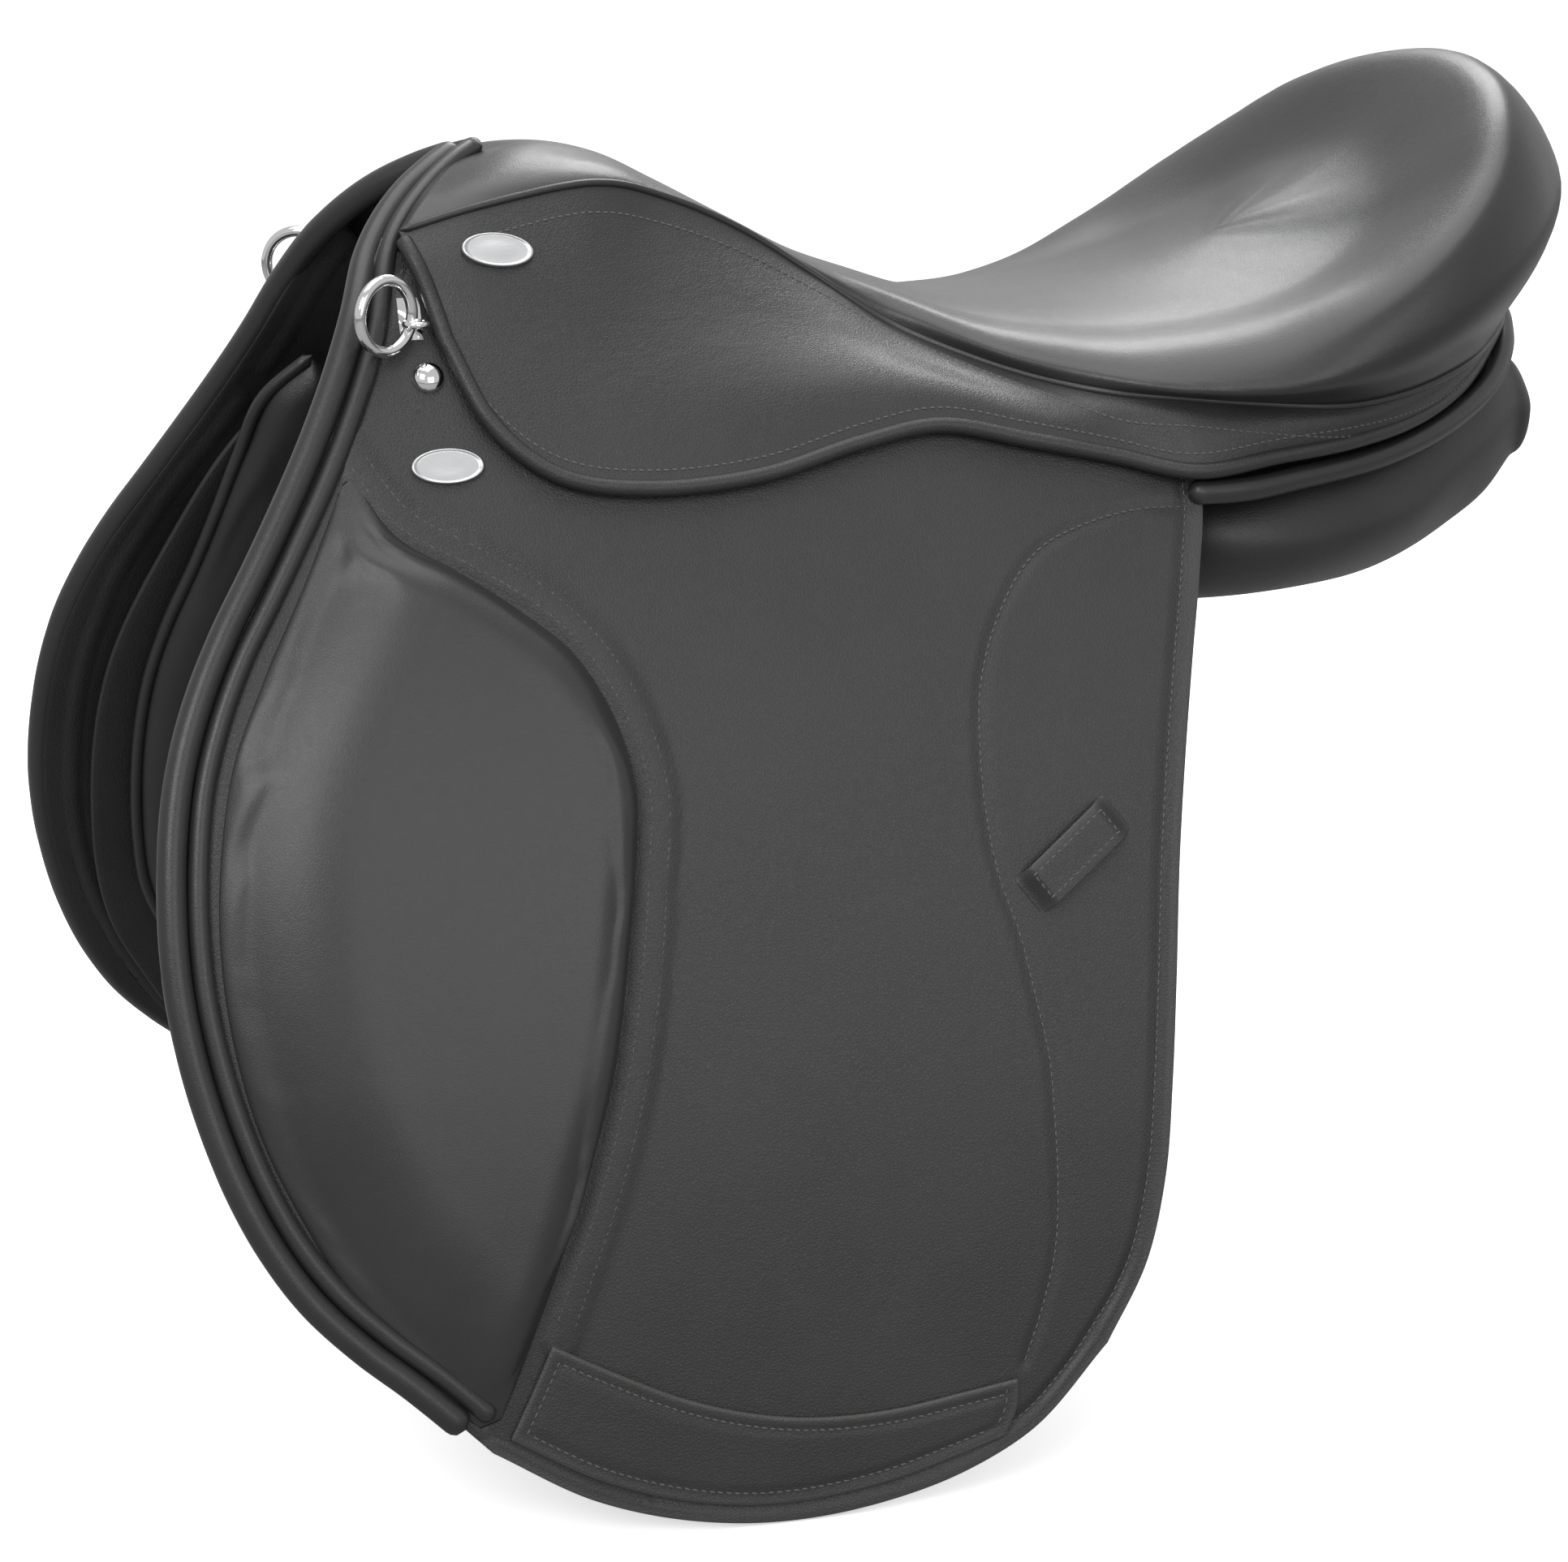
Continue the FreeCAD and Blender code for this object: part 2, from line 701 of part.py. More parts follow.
def keeper_corners(long, wide):
    """A slanting oblong about the keeper's middle."""
    corners = []
    for along, across in ((1, 1), (1, -1), (-1, -1), (-1, 1)):
        a = along * long / 2
        b = across * wide / 2
        x = KEEPER_MIDDLE[0] + a * math.cos(KEEPER_TURN) - b * math.sin(KEEPER_TURN)
        z = KEEPER_MIDDLE[1] + a * math.sin(KEEPER_TURN) + b * math.cos(KEEPER_TURN)
        corners.append((x, z))
    return [[corners[i], corners[(i + 1) % 4]] for i in range(4)]


keeper_block = leather(
    "keeper_block",
    "cells.keeper_height",
    "0.05",
    *keeper_corners(KEEPER_LONG, KEEPER_WIDE),
)
keeper_room = leather(
    "keeper_room",
    "cells.keeper_height - cells.keeper_leather",
    "0",
    *keeper_corners(KEEPER_LONG - 4 * size("keeper_leather"), KEEPER_WIDE + 2),
)
both_sides("keeper", less("keeper_strap", keeper_block, keeper_room))

upper_front = [(-213, FOLD + SLIT), (-210, 50), (-196, 78), (-178, 112), (-163, 135)]
upper_top = [
    (-163, 135), (-152, bend_height(-152) + 2), (-92, bend_height(-92) + 1), (-10, bend_height(-10) - 1),
]
upper_rear = [(-10, bend_height(-10) - 1), (25, LOW + 13), (70, LOW + 2), (size("flap_back"), LOW - 4)]
flap_top = leather(
    "flap_top",
    "0",
    "-cells.flap_leather",
    upper_front,
    [upper_top[0], upper_top[1]],
    [upper_top[1], upper_top[2]],
    [upper_top[2], upper_top[3]],
    upper_rear,
    [upper_rear[-1], (size("flap_back"), FOLD + SLIT)],
    [(size("flap_back"), FOLD + SLIT), upper_front[0]],
)
BAR = face_frame(size("bar_place"), size("bar_level"))
WINDOW_MARGIN = 4
window = doc.addObject("Part::Box", "window")
at(
    window,
    Length=f"cells.bar_length + {2 * WINDOW_MARGIN}",
    Width="cells.flap_leather + 4",
    Height=f"cells.bar_height + {2 * WINDOW_MARGIN}",
)
window_corner = (-size("bar_length") / 2 - WINDOW_MARGIN, -2, -size("bar_height") / 2 - WINDOW_MARGIN)
window.Placement = BAR.multiply(Placement(V(*window_corner), Rotation()))
both_sides("flap_upper", less("flap_with_window", flap_top, window))


def tube(points, radius):
    """A round piping along straight runs joined by tangent arcs, each as large as its two runs allow."""
    corners = [V(*p) for p in points]
    edges = []
    start = corners[0]
    for before, corner, after in zip(corners, corners[1:], corners[2:]):
        to_before = (before - corner)
        to_after = (after - corner)
        reach = 0.45 * min(to_before.Length, to_after.Length)
        to_before.normalize()
        to_after.normalize()
        first = corner + to_before * reach
        last = corner + to_after * reach
        turn = to_before.getAngle(to_after) / 2
        centre_way = (to_before + to_after).normalize()
        centre = corner + centre_way * (reach / math.cos(turn))
        middle = centre - centre_way * (reach * math.tan(turn))
        edges.append(Part.LineSegment(start, first).toShape())
        edges.append(Part.Arc(first, middle, last).toShape())
        start = last
    edges.append(Part.LineSegment(start, corners[-1]).toShape())
    path = Part.Wire(edges)
    ring = Part.Wire(Part.makeCircle(radius, corners[0], corners[1] - corners[0]))
    return path.makePipeShell([ring], True, False)


def across(points):
    """A route given for the near side, carried on over the middle to the far side."""
    return list(points) + [(x, -y, z) for x, y, z in reversed(points)]


pommel_route = [
    (-221, -89, 50), (-208, -77, 76), (-188, -55, 112), (-172, -33, 136), (-150, -14, 153), (-128, -6, 163),
]
keep("pommel_roll", solid("pommel_piping", tube(across(pommel_route), size("roll_height"))))


# --- stirrup bars -----------------------------------------------------------------------------------------

def plan_body(name, frame, points, low, height):
    """A body padded from a closed plan sketch of straight lines, standing in a local frame."""
    body = doc.addObject("PartDesign::Body", name)
    flat_plane = [f for f in body.Origin.OriginFeatures if f.Role == "XY_Plane"][0]
    sketch = body.newObject("Sketcher::SketchObject", name + "_sketch")
    sketch.AttachmentSupport = (flat_plane, [""])
    sketch.MapMode = "FlatFace"
    sketch.AttachmentOffset = Placement(V(0, 0, low), Rotation())
    corners = [V(x, y, 0) for x, y in points]
    for here, there in zip(corners, corners[1:] + corners[:1]):
        sketch.addGeometry(Part.LineSegment(here, there), False)
    count = len(corners)
    for edge in range(count):
        sketch.addConstraint(Sketcher.Constraint("Coincident", edge, 2, (edge + 1) % count, 1))
    pad = body.newObject("PartDesign::Pad", name + "_pad")
    pad.Profile = sketch
    pad.setExpression("Length", height)
    body.Placement = frame
    return body


BAR_HALF = size("bar_length") / 2
BLADE = size("bar_blade")
FOOT = 0.5 + BLADE + size("bar_throat")
BLADE_END = BAR_HALF - 16
STEP = BLADE_END - 9
RISER = 9
bar_plan = [
    (-BAR_HALF, 0.5),
    (BLADE_END, 0.5),
    (BLADE_END, 0.5 + BLADE / 2 - 0.1),
    (STEP, 0.5 + BLADE / 2 - 0.1),
    (STEP, 0.5 + BLADE),
    (-BAR_HALF + RISER, 0.5 + BLADE),
    (-BAR_HALF + RISER, FOOT),
    (BAR_HALF - 20, FOOT),
    (BAR_HALF - 20, FOOT + size("bar_plate")),
    (-BAR_HALF, FOOT + size("bar_plate")),
]
blank = plan_body("bar_blank", BAR, bar_plan, -size("bar_height") / 2, "cells.bar_height")
PIVOT = (BLADE_END - 4.6, 0.5, 0)
pin_hole = rod_at(
    "pin_hole",
    BAR,
    (PIVOT[0], -1, 0),
    (0, 1, 0),
    "cells.pin_radius + cells.pin_play",
    "cells.bar_blade",
)
both_sides("stirrup_bar", less("bar_drilled", blank, pin_hole))

CATCH_FACE = 0.5 + BLADE / 2 + 0.1
CATCH_REACH = 22
catch_root = rod_at("catch_root", BAR, (PIVOT[0], CATCH_FACE, 0), (0, 1, 0), "4", "cells.bar_blade / 2 - 0.2")
catch_pin = rod_at(
    "catch_pin",
    BAR,
    (PIVOT[0], 0.7, 0),
    (0, 1, 0),
    "cells.pin_radius",
    "cells.bar_blade / 2 + 0.2",
)
catch_thumb = box_at(
    "catch_thumb",
    BAR,
    (PIVOT[0], CATCH_FACE, -4),
    Length=CATCH_REACH,
    Width="cells.bar_blade / 2 - 0.2",
    Height=8,
)
both_sides("bar_catch", together("catch_parts", catch_root, catch_pin, catch_thumb))

rivet_places = [(-BAR_HALF + 4.5, 0), (0, 0), (BAR_HALF - 26, 0)]
rivets = []
for number, (x, z) in enumerate(rivet_places):
    head = rod_at(f"bar_rivet{number}", BAR, (x, FOOT + size("bar_plate"), z), (0, 1, 0), "3.5", "1.6")
    rivets.append(head)
    twin = doc.addObject("Part::Mirroring", f"bar_rivet_far{number}")
    twin.Source = head
    twin.Normal = V(0, 1, 0)
    rivets.append(twin)
rivet_group = doc.addObject("Part::Compound", "rivet_group")
rivet_group.Links = rivets
keep("bar_rivets", rivet_group)


# --- front hardware ---------------------------------------------------------------------------------------

def turned(name, frame, profile):
    """A turned piece about its local outward axis, from a half profile of radius and height."""
    body = doc.addObject("PartDesign::Body", name)
    flat_plane = [f for f in body.Origin.OriginFeatures if f.Role == "XY_Plane"][0]
    sketch = body.newObject("Sketcher::SketchObject", name + "_sketch")
    sketch.AttachmentSupport = (flat_plane, [""])
    sketch.MapMode = "FlatFace"
    corners = [V(radius, -height, 0) for radius, height in profile]
    for here, there in zip(corners, corners[1:] + corners[:1]):
        sketch.addGeometry(Part.LineSegment(here, there), False)
    turn = body.newObject("PartDesign::Revolution", name + "_turn")
    turn.Profile = sketch
    turn.ReferenceAxis = (sketch, ["V_Axis"])
    turn.Angle = 360
    body.Placement = frame
    return body


STUD = size("stud_radius")
stud_profile = [
    (0, 0.1), (STUD, 0.1), (STUD, 0.8), (STUD * 0.92, 1.9), (STUD * 0.7, 3.1), (STUD * 0.4, 3.9),
    (1.3, 4.2), (1.3, 3.4), (0, 3.4),
]
both_sides("stud", turned("dome_stud", face_frame(-158, 92), stud_profile))


def oval(name, frame):
    """An oval plate with a raised rim: two elliptic cylinders and the hollow between them."""
    half_long = size("plate_long") / 2
    half_short = size("plate_short") / 2
    layers = []
    for inset, low, high in ((0, 0.1, 1.6), (1.1, 1.2, 2.5)):
        edge = Part.Ellipse(V(0, 0, 0), half_long - inset, half_short - inset).toShape()
        block = Part.Face(Part.Wire(edge)).extrude(V(0, 0, high - low))
        block.translate(V(0, 0, low))
        layers.append(block)
    plate = layers[0].cut(layers[1])
    piece = solid(name, plate)
    piece.Placement = frame.multiply(Placement(V(0, 0, 0), Rotation(V(1, 0, 0), 90)))
    return piece


lower_plate = oval("lower_plate", face_frame(-156, 63))
upper_low = lower_edge(-141)
upper_root = V(-141, -42 - ROOT_GAP, 147 - ROOT_DROP)
upper_run = V(0, -upper_low[0] - upper_root.y, upper_low[1] - upper_root.z).normalize()
upper_middle = upper_root + upper_run * 20
upper_along = V(1, -0.18, -0.05).normalize()
upper_inward = upper_along.cross(upper_run).normalize()
upper_up = upper_along.cross(upper_inward)
upper_frame = Placement(upper_middle - upper_inward, Rotation(upper_along, upper_inward, upper_up, "XYZ"))
upper_plate = oval("upper_plate", upper_frame)
plate_pair = doc.addObject("Part::Compound", "plate_pair")
plate_pair.Links = [upper_plate, lower_plate]
both_sides("oval_plates", plate_pair)

EYE_REACH = 7.5
EYE = face_point(-161, 111, EYE_REACH)
RING_WAY = V(-math.cos(math.radians(30)), -math.sin(math.radians(30)), 0)
ring = doc.addObject("Part::Torus", "ring")
at(ring, Radius1="cells.ring_radius", Radius2="cells.ring_wire")
ring_middle = EYE + RING_WAY * size("ring_radius")
ring.Placement = Placement(ring_middle, Rotation(V(0, 0, 1), V(0, 0, 1).cross(RING_WAY)))
both_sides("dee_ring", ring)

eye_frame = face_frame(-161, 111)
staple_plate = box_at("staple_plate", eye_frame, (-4, -1.3, -8), Length=8, Width=1.2, Height=16)
staple_post = box_at(
    "staple_post",
    eye_frame,
    (-1.3, 3.6 - EYE_REACH, -1.2),
    Length=2.6,
    Width=EYE_REACH - 4.8,
    Height=2.4,
)
staple_eye = doc.addObject("Part::Torus", "staple_eye")
staple_eye.Radius1 = size("ring_wire") + 1.5
staple_eye.Radius2 = 1.3
staple_eye.Placement = Placement(EYE, Rotation())
both_sides("dee_staple", together("staple", staple_plate, staple_post, staple_eye))


# --- billets, buckle guards and girth web -----------------------------------------------------------------

GUARD_OUT = "-cells.guard_start"
GUARD_IN = GUARD_OUT + " - cells.guard_leather"
OUTER_OUT = GUARD_IN + " - cells.layer_gap"
OUTER_IN = OUTER_OUT + " - cells.billet_leather"
INNER_OUT = OUTER_IN + " - cells.layer_gap"
INNER_IN = INNER_OUT + " - cells.billet_leather"
SWEAT_OUT = INNER_IN + " - cells.layer_gap"
SWEAT_IN = SWEAT_OUT + " - cells.sweat_leather"
PAD_OUT = SWEAT_IN + " - cells.layer_gap"
PAD_IN = PAD_OUT + " - cells.panel_pad"
HOLES = 6
TIP = 16


def billet(name, x, outer, inner):
    """A strap with a pointed end and a row of punched holes."""
    half = size("billet_width") / 2
    top = size("billet_top") + half
    foot = size("billet_top") - size("billet_length")
    tip = half * 0.35
    sides = [(x - half, top), (x - half, foot + TIP), (x - tip, foot)]
    sides += [(x + tip, foot), (x + half, foot + TIP), (x + half, top)]
    rim = [[here, there] for here, there in zip(sides, sides[1:] + sides[:1])]
    strap = leather(name + "_strap", outer, inner, *rim)
    for number in range(HOLES):
        level = foot + TIP + 8 + number * size("hole_pitch")
        frame = face_frame(x, level)
        punch = rod_at(f"{name}_punch{number}", frame, (0, -1, 0), (0, 1, 0), "cells.hole_radius", 30)
        strap = less(f"{name}_holed{number}", strap, punch)
    return strap


for number, (place, layers) in enumerate([
    ("front", (INNER_OUT, INNER_IN)),
    ("middle", (OUTER_OUT, OUTER_IN)),
    ("rear", (INNER_OUT, INNER_IN)),
]):
    centre = size("first_billet") + number * size("billet_spacing")
    both_sides("billet_" + place, billet("billet_" + place, centre, *layers))

guard_middle = size("first_billet") + size("billet_spacing")
GUARD_HALF = 34
guard_top = size("billet_top") - 78
guard_foot = guard_top - 78
guard_sides = [
    (guard_middle - GUARD_HALF, guard_top),
    (guard_middle - GUARD_HALF, guard_foot + 14),
    (guard_middle - GUARD_HALF + 14, guard_foot),
    (guard_middle + GUARD_HALF - 14, guard_foot),
    (guard_middle + GUARD_HALF, guard_foot + 14),
    (guard_middle + GUARD_HALF, guard_top),
]
guard_rim = [[here, there] for here, there in zip(guard_sides, guard_sides[1:] + guard_sides[:1])]
both_sides("buckle_guard", leather("guard", GUARD_OUT, GUARD_IN, *guard_rim))


# --- sweat flaps and panels -------------------------------------------------------------------------------

sweat_front = [flap_at(*p) for p in [
    (-200, 62), (-226, 14), (-248, -40), (-254, -100), (-246, -160), (-224, -203),
]]
sweat_low = [flap_at(*p) for p in [
    (-224, -203), (-150, -232), (-60, -238), (10, -225), (50, -170), (66, -100), (84, -20), (96, 34),
]]
sweat = leather(
    "sweat",
    SWEAT_OUT,
    SWEAT_IN,
    sweat_front,
    sweat_low,
    [sweat_low[-1], (96, 62)],
    [(96, 62), sweat_front[0]],
)
both_sides("sweat_flap", sweat)

pad_front = [flap_at(*p) for p in [
    (-174, 97), (-192, 84), (-200, 60), (-212, 20), (-232, -38), (-238, -98), (-231, -152), (-210, -188),
]]
pad_low = [flap_at(*p) for p in [
    (-210, -188), (-140, -214), (-60, -220), (0, -206), (36, -160), (52, -100), (70, -20), (80, 28),
]]
pad = leather(
    "pad",
    PAD_OUT,
    PAD_IN,
    pad_front,
    pad_low,
    [pad_low[-1], (-140, 34)],
    [(-140, 34), pad_front[0]],
)
both_sides("panel_flap", pad)

CHANNEL = size("channel_half")
CUSHION = [
    (-142, [(CHANNEL, 70), (42, 65), (47, 54), (47, 44), (40, 46), (CHANNEL, 56)]),
    (-100, [(CHANNEL, 62), (46, 57), (53, 42), (62, 16), (42, 26), (CHANNEL, 46)]),
    (-66, [(CHANNEL, 60), (48, 55), (57, 40), (71, 8), (44, 20), (CHANNEL, 42)]),
    (-40, [(CHANNEL, 60), (50, 53), (60, 38), (79, 2), (46, 14), (CHANNEL, 38)]),
    (40, [(CHANNEL, 58), (58, 47), (70, 32), (88, -1), (48, 10), (CHANNEL, 32)]),
    (98, [(CHANNEL, 56), (68, 43), (82, 26), (95, -3), (50, 9), (CHANNEL, 32)]),
    (135, [(CHANNEL, 58), (104, 36), (114, 18), (97, -4), (52, 9), (CHANNEL, 32)]),
    (170, [(CHANNEL, 66), (106, 40), (118, 20), (95, -3), (52, 11), (CHANNEL, 36)]),
    (215, [(CHANNEL, 72), (92, 46), (104, 26), (84, 1), (48, 16), (CHANNEL, 42)]),
    (250, [(CHANNEL, 78), (70, 56), (80, 38), (68, 14), (44, 28), (CHANNEL, 52)]),
    (278, [(CHANNEL, 80), (48, 66), (56, 52), (50, 38), (40, 44), (CHANNEL, 60)]),
    (297, [(CHANNEL, 76), (38, 70), (41, 62), (39, 52), (35, 54), (CHANNEL, 62)]),
]


def cushion_wire(x, points):
    """A closed section of the panel: a curve round its outside and a straight wall along the channel."""
    corners = []
    for y, z in points:
        place, outer = rear_place(x, y - CHANNEL)
        corners.append(V(place, -CHANNEL - outer, z))
    round_side = Part.BSplineCurve()
    round_side.interpolate(corners)
    return Part.Wire([round_side.toShape(), Part.LineSegment(corners[-1], corners[0]).toShape()])


cushion = solid("cushion", Part.makeLoft([cushion_wire(x, points) for x, points in CUSHION], True, True))
both_sides("panel_cushion", cushion)

BINDING = [
    (121, -124, 43), (158, -121, 45), (198, -111, 49), (240, -90, 58),
    (272, -64, 67.5), (292, -38, 79), (302, -12, 87),
]
binding_route = [(*rear_place(x, y), z) for x, y, z in BINDING]
keep("panel_binding", solid("panel_piping", tube(across(binding_route), size("binding_radius"))))

lining_points = []
for x, points in CUSHION[1:-1]:
    place = rear_place(x)[0]
    level = points[0][1] - 12
    half = CHANNEL - 0.5
    corners = [(-half, level), (half, level), (half, level + 1.6), (-half, level + 1.6), (-half, level)]
    lining_points.append(Part.makePolygon([V(place, y, z) for y, z in corners]))
keep("gullet_lining", solid("lining", Part.makeLoft(lining_points, True, True)))

web_left = size("first_billet") - 10
web = box_at(
    "web",
    Placement(),
    (web_left, 2 - CHANNEL, 62),
    Length=2 * size("billet_spacing") + 20,
    Width=2 * (CHANNEL - 2),
    Height=1.8,
)
keep("billet_web", web)


# --- check and write --------------------------------------------------------------------------------------

doc.recompute()
for thing in doc.Objects:
    if "Invalid" in thing.State or "Error" in thing.State:
        raise RuntimeError(f"{thing.Name} failed: {thing.State}")

os.makedirs("parts", exist_ok=True)
for node, thing in made.items():
    shape = thing.Shape
    if shape.isNull() or not shape.isValid() or shape.Volume <= 0:
        raise RuntimeError(f"{node} has no valid solid")
    shape.exportStep(f"parts/{node}.step")
    print(f"{node}: {len(shape.Solids)} solid(s), {shape.Volume / 1000:.1f} cm3")
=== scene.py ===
"""English saddle, black leather. Metres in Blender, millimetres in the lists; +X to the cantle, near side at -Y."""
import math

import bmesh
import bpy
import numpy as np
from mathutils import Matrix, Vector


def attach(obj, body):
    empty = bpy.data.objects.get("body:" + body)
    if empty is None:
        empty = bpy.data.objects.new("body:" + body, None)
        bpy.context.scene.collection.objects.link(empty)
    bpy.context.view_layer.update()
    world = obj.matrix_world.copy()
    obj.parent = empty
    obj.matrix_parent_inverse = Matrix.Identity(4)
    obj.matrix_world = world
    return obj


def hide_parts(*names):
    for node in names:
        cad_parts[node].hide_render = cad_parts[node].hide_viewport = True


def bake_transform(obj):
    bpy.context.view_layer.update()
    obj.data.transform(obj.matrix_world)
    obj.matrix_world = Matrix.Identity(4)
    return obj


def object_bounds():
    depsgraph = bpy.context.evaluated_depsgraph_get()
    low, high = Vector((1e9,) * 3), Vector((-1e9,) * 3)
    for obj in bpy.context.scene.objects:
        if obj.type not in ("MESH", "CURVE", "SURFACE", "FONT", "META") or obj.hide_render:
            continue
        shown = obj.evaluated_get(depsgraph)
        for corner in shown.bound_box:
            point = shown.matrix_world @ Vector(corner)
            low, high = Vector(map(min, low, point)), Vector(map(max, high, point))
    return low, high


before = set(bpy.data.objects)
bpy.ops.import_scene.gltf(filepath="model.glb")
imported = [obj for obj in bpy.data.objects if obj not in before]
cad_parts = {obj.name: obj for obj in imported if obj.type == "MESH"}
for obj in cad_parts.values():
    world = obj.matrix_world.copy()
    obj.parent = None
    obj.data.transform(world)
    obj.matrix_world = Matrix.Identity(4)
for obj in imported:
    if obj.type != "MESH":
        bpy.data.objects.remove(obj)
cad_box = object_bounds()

MM = 0.001
SIDES = (("left", -1), ("right", 1))


# --- Tree, springs, arch and plates -------------------------------------------------------------------------------
# The stiff core of the saddle: a moulded shell with a steel-lined front arch, two leaf springs and a cantle plate.
# It is all riveted together before any leather goes on, and stays as the frame gives it, in moulded and steel finishes.

class Signal:
    """One output socket of a material. Arithmetic on it adds Math nodes; node() adds any other node."""

    def __init__(self, tree, socket=None):
        self.tree = tree
        self.socket = socket

    def feed(self, socket, value):
        if isinstance(value, Signal):
            self.tree.links.new(value.socket, socket)
        else:
            socket.default_value = value

    def node(self, kind, settings=None, inputs=None, output=0):
        made = self.tree.nodes.new("ShaderNode" + kind)
        for name, value in (settings or {}).items():
            if name == "stops":
                for _ in value[2:]:
                    made.color_ramp.elements.new(0.5)
                for element, (place, shade) in zip(made.color_ramp.elements, value):
                    element.position = place
                    element.color = (shade, shade, shade, 1)
            else:
                setattr(made, name, value)
        for name, value in (inputs or {}).items():
            self.feed(made.inputs[name], value)
        return Signal(self.tree, made.outputs[output])

    def maths(self, operation, first, second):
        return self.node("Math", {"operation": operation}, {0: first, 1: second})

    def __add__(self, other):
        return self.maths("ADD", self, other)

    def __sub__(self, other):
        return self.maths("SUBTRACT", self, other)

    def __rsub__(self, other):
        return self.maths("SUBTRACT", other, self)

    def __mul__(self, other):
        return self.maths("MULTIPLY", self, other)

    __radd__ = __add__
    __rmul__ = __mul__

    def ramp(self, *stops):
        """A smooth grey ramp of this value, from pairs of place and shade."""
        return self.node("ValToRGB", {"stops": stops}, {"Fac": self})


def finish(name, **sockets):
    """A material with its constant sockets set. Gives it, a Signal on its tree and its shader."""
    material = bpy.data.materials.new(name)
    material.use_nodes = True
    shader = material.node_tree.nodes["Principled BSDF"]
    for socket, value in sockets.items():
        shader.inputs[socket.replace("_", " ").title().replace("Ior", "IOR")].default_value = value
    return material, Signal(material.node_tree), shader


def grey(level, warm=0.0):
    """A near neutral colour."""
    return (level * (1 + warm), level, level * (1 - warm), 1)


def metal(name, colour, rough, spread, grain):
    """Metal with faint smears in its gloss and fine scratches: stretched noise on roughness and bump."""
    material, start, shader = finish(name, base_color=colour, metallic=1.0)
    place = start.node("TexCoord", output=3)
    smear = start.node("TexNoise", {}, {"Vector": place, "Scale": 60.0, "Detail": 4.0})
    start.feed(shader.inputs["Roughness"], smear * spread + rough - spread / 2)
    stretched = start.node("Mapping", {}, {"Vector": place, "Scale": (1.0, 12.0, 12.0)})
    scratch = start.node("TexNoise", {}, {"Vector": stretched, "Scale": 180.0, "Detail": 3.0})
    bump = start.node("Bump", {}, {"Height": scratch, "Strength": grain, "Distance": 0.0002})
    start.feed(shader.inputs["Normal"], bump)
    return material


def plain(name, colour, rough, scale, depth):
    """Moulded or woven goods: a fine noise on colour, gloss and height."""
    material, start, shader = finish(name)
    place = start.node("TexCoord", output=3)
    noise = start.node("TexNoise", {}, {"Vector": place, "Scale": scale, "Detail": 5.0})
    tinted = start.node(
        "Mix", {"data_type": "RGBA"}, {"Factor": noise, 6: colour, 7: tuple(c * 1.5 for c in colour[:3]) + (1,)}, 2
    )
    start.feed(shader.inputs["Base Color"], tinted)
    start.feed(shader.inputs["Roughness"], noise * 0.2 + rough - 0.1)
    bump = start.node("Bump", {}, {"Height": noise, "Strength": depth, "Distance": 0.0004})
    start.feed(shader.inputs["Normal"], bump)
    return material


def dress(material, *nodes):
    """Puts a finish on pieces that stay as the frame gives them."""
    for node in nodes:
        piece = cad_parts[node]
        piece.data.materials.clear()
        piece.data.materials.append(material)


moulded = plain("moulded_shell", grey(0.03), 0.6, 400.0, 0.3)
spring_steel = metal("spring_steel", grey(0.42), 0.42, 0.16, 0.25)
forged_steel = metal("forged_steel", grey(0.55), 0.34, 0.14, 0.2)
webbing = plain("woven_web", grey(0.55, 0.06), 0.85, 900.0, 0.8)
dress(moulded, "tree", "tree_head")
dress(spring_steel, "gullet_plate", "cantle_plate", "tree_spring_left", "tree_spring_right", "bar_rivets")
dress(forged_steel, "stirrup_bar_left", "stirrup_bar_right", "bar_catch_left", "bar_catch_right")
dress(webbing, "seat_webbing", "billet_web")


# --- Seat ---------------------------------------------------------------------------------------------------------
# One soft leather hide blocked over foam, narrow at the waist and dished towards the cantle.
# It is sewn to the skirts along the main seam, with a thin welt in the seam, and turned down behind the pommel roll.

def smooth(knots, values, at, first=None):
    """Cubic Hermite pieces through values at knots; slopes come from the neighbours, or first at the start."""
    knots = np.asarray(knots, float)
    values = np.asarray(values, float)
    slopes = np.gradient(values, knots, axis=0)
    if first is not None:
        slopes[0] = first
    place = np.clip(np.searchsorted(knots, at, side="right") - 1, 0, len(knots) - 2)
    step = knots[place + 1] - knots[place]
    t = ((at - knots[place]) / step).reshape((-1,) + (1,) * (values.ndim - 1))
    step = step.reshape(t.shape)
    low, high = values[place], values[place + 1]
    return (
        low * (1 + 2 * t) * (1 - t) ** 2
        + high * t**2 * (3 - 2 * t)
        + slopes[place] * step * t * (1 - t) ** 2
        - slopes[place + 1] * step * t**2 * (1 - t)
    )


def lengths(points):
    """Distance along a row of points, from its start."""
    return np.concatenate([[0.0], np.cumsum(np.linalg.norm(np.diff(points, axis=0), axis=1))])


def through(points, count):
    """A smooth curve through the points, as count points at equal steps along it."""
    points = np.asarray(points, float)
    knots = lengths(points)
    fine = smooth(knots, points, np.linspace(0, knots[-1], 24 * len(points)))
    walked = lengths(fine)
    steps = np.linspace(0, walked[-1], count)
    return np.column_stack([np.interp(steps, walked, fine[:, axis]) for axis in range(fine.shape[1])])


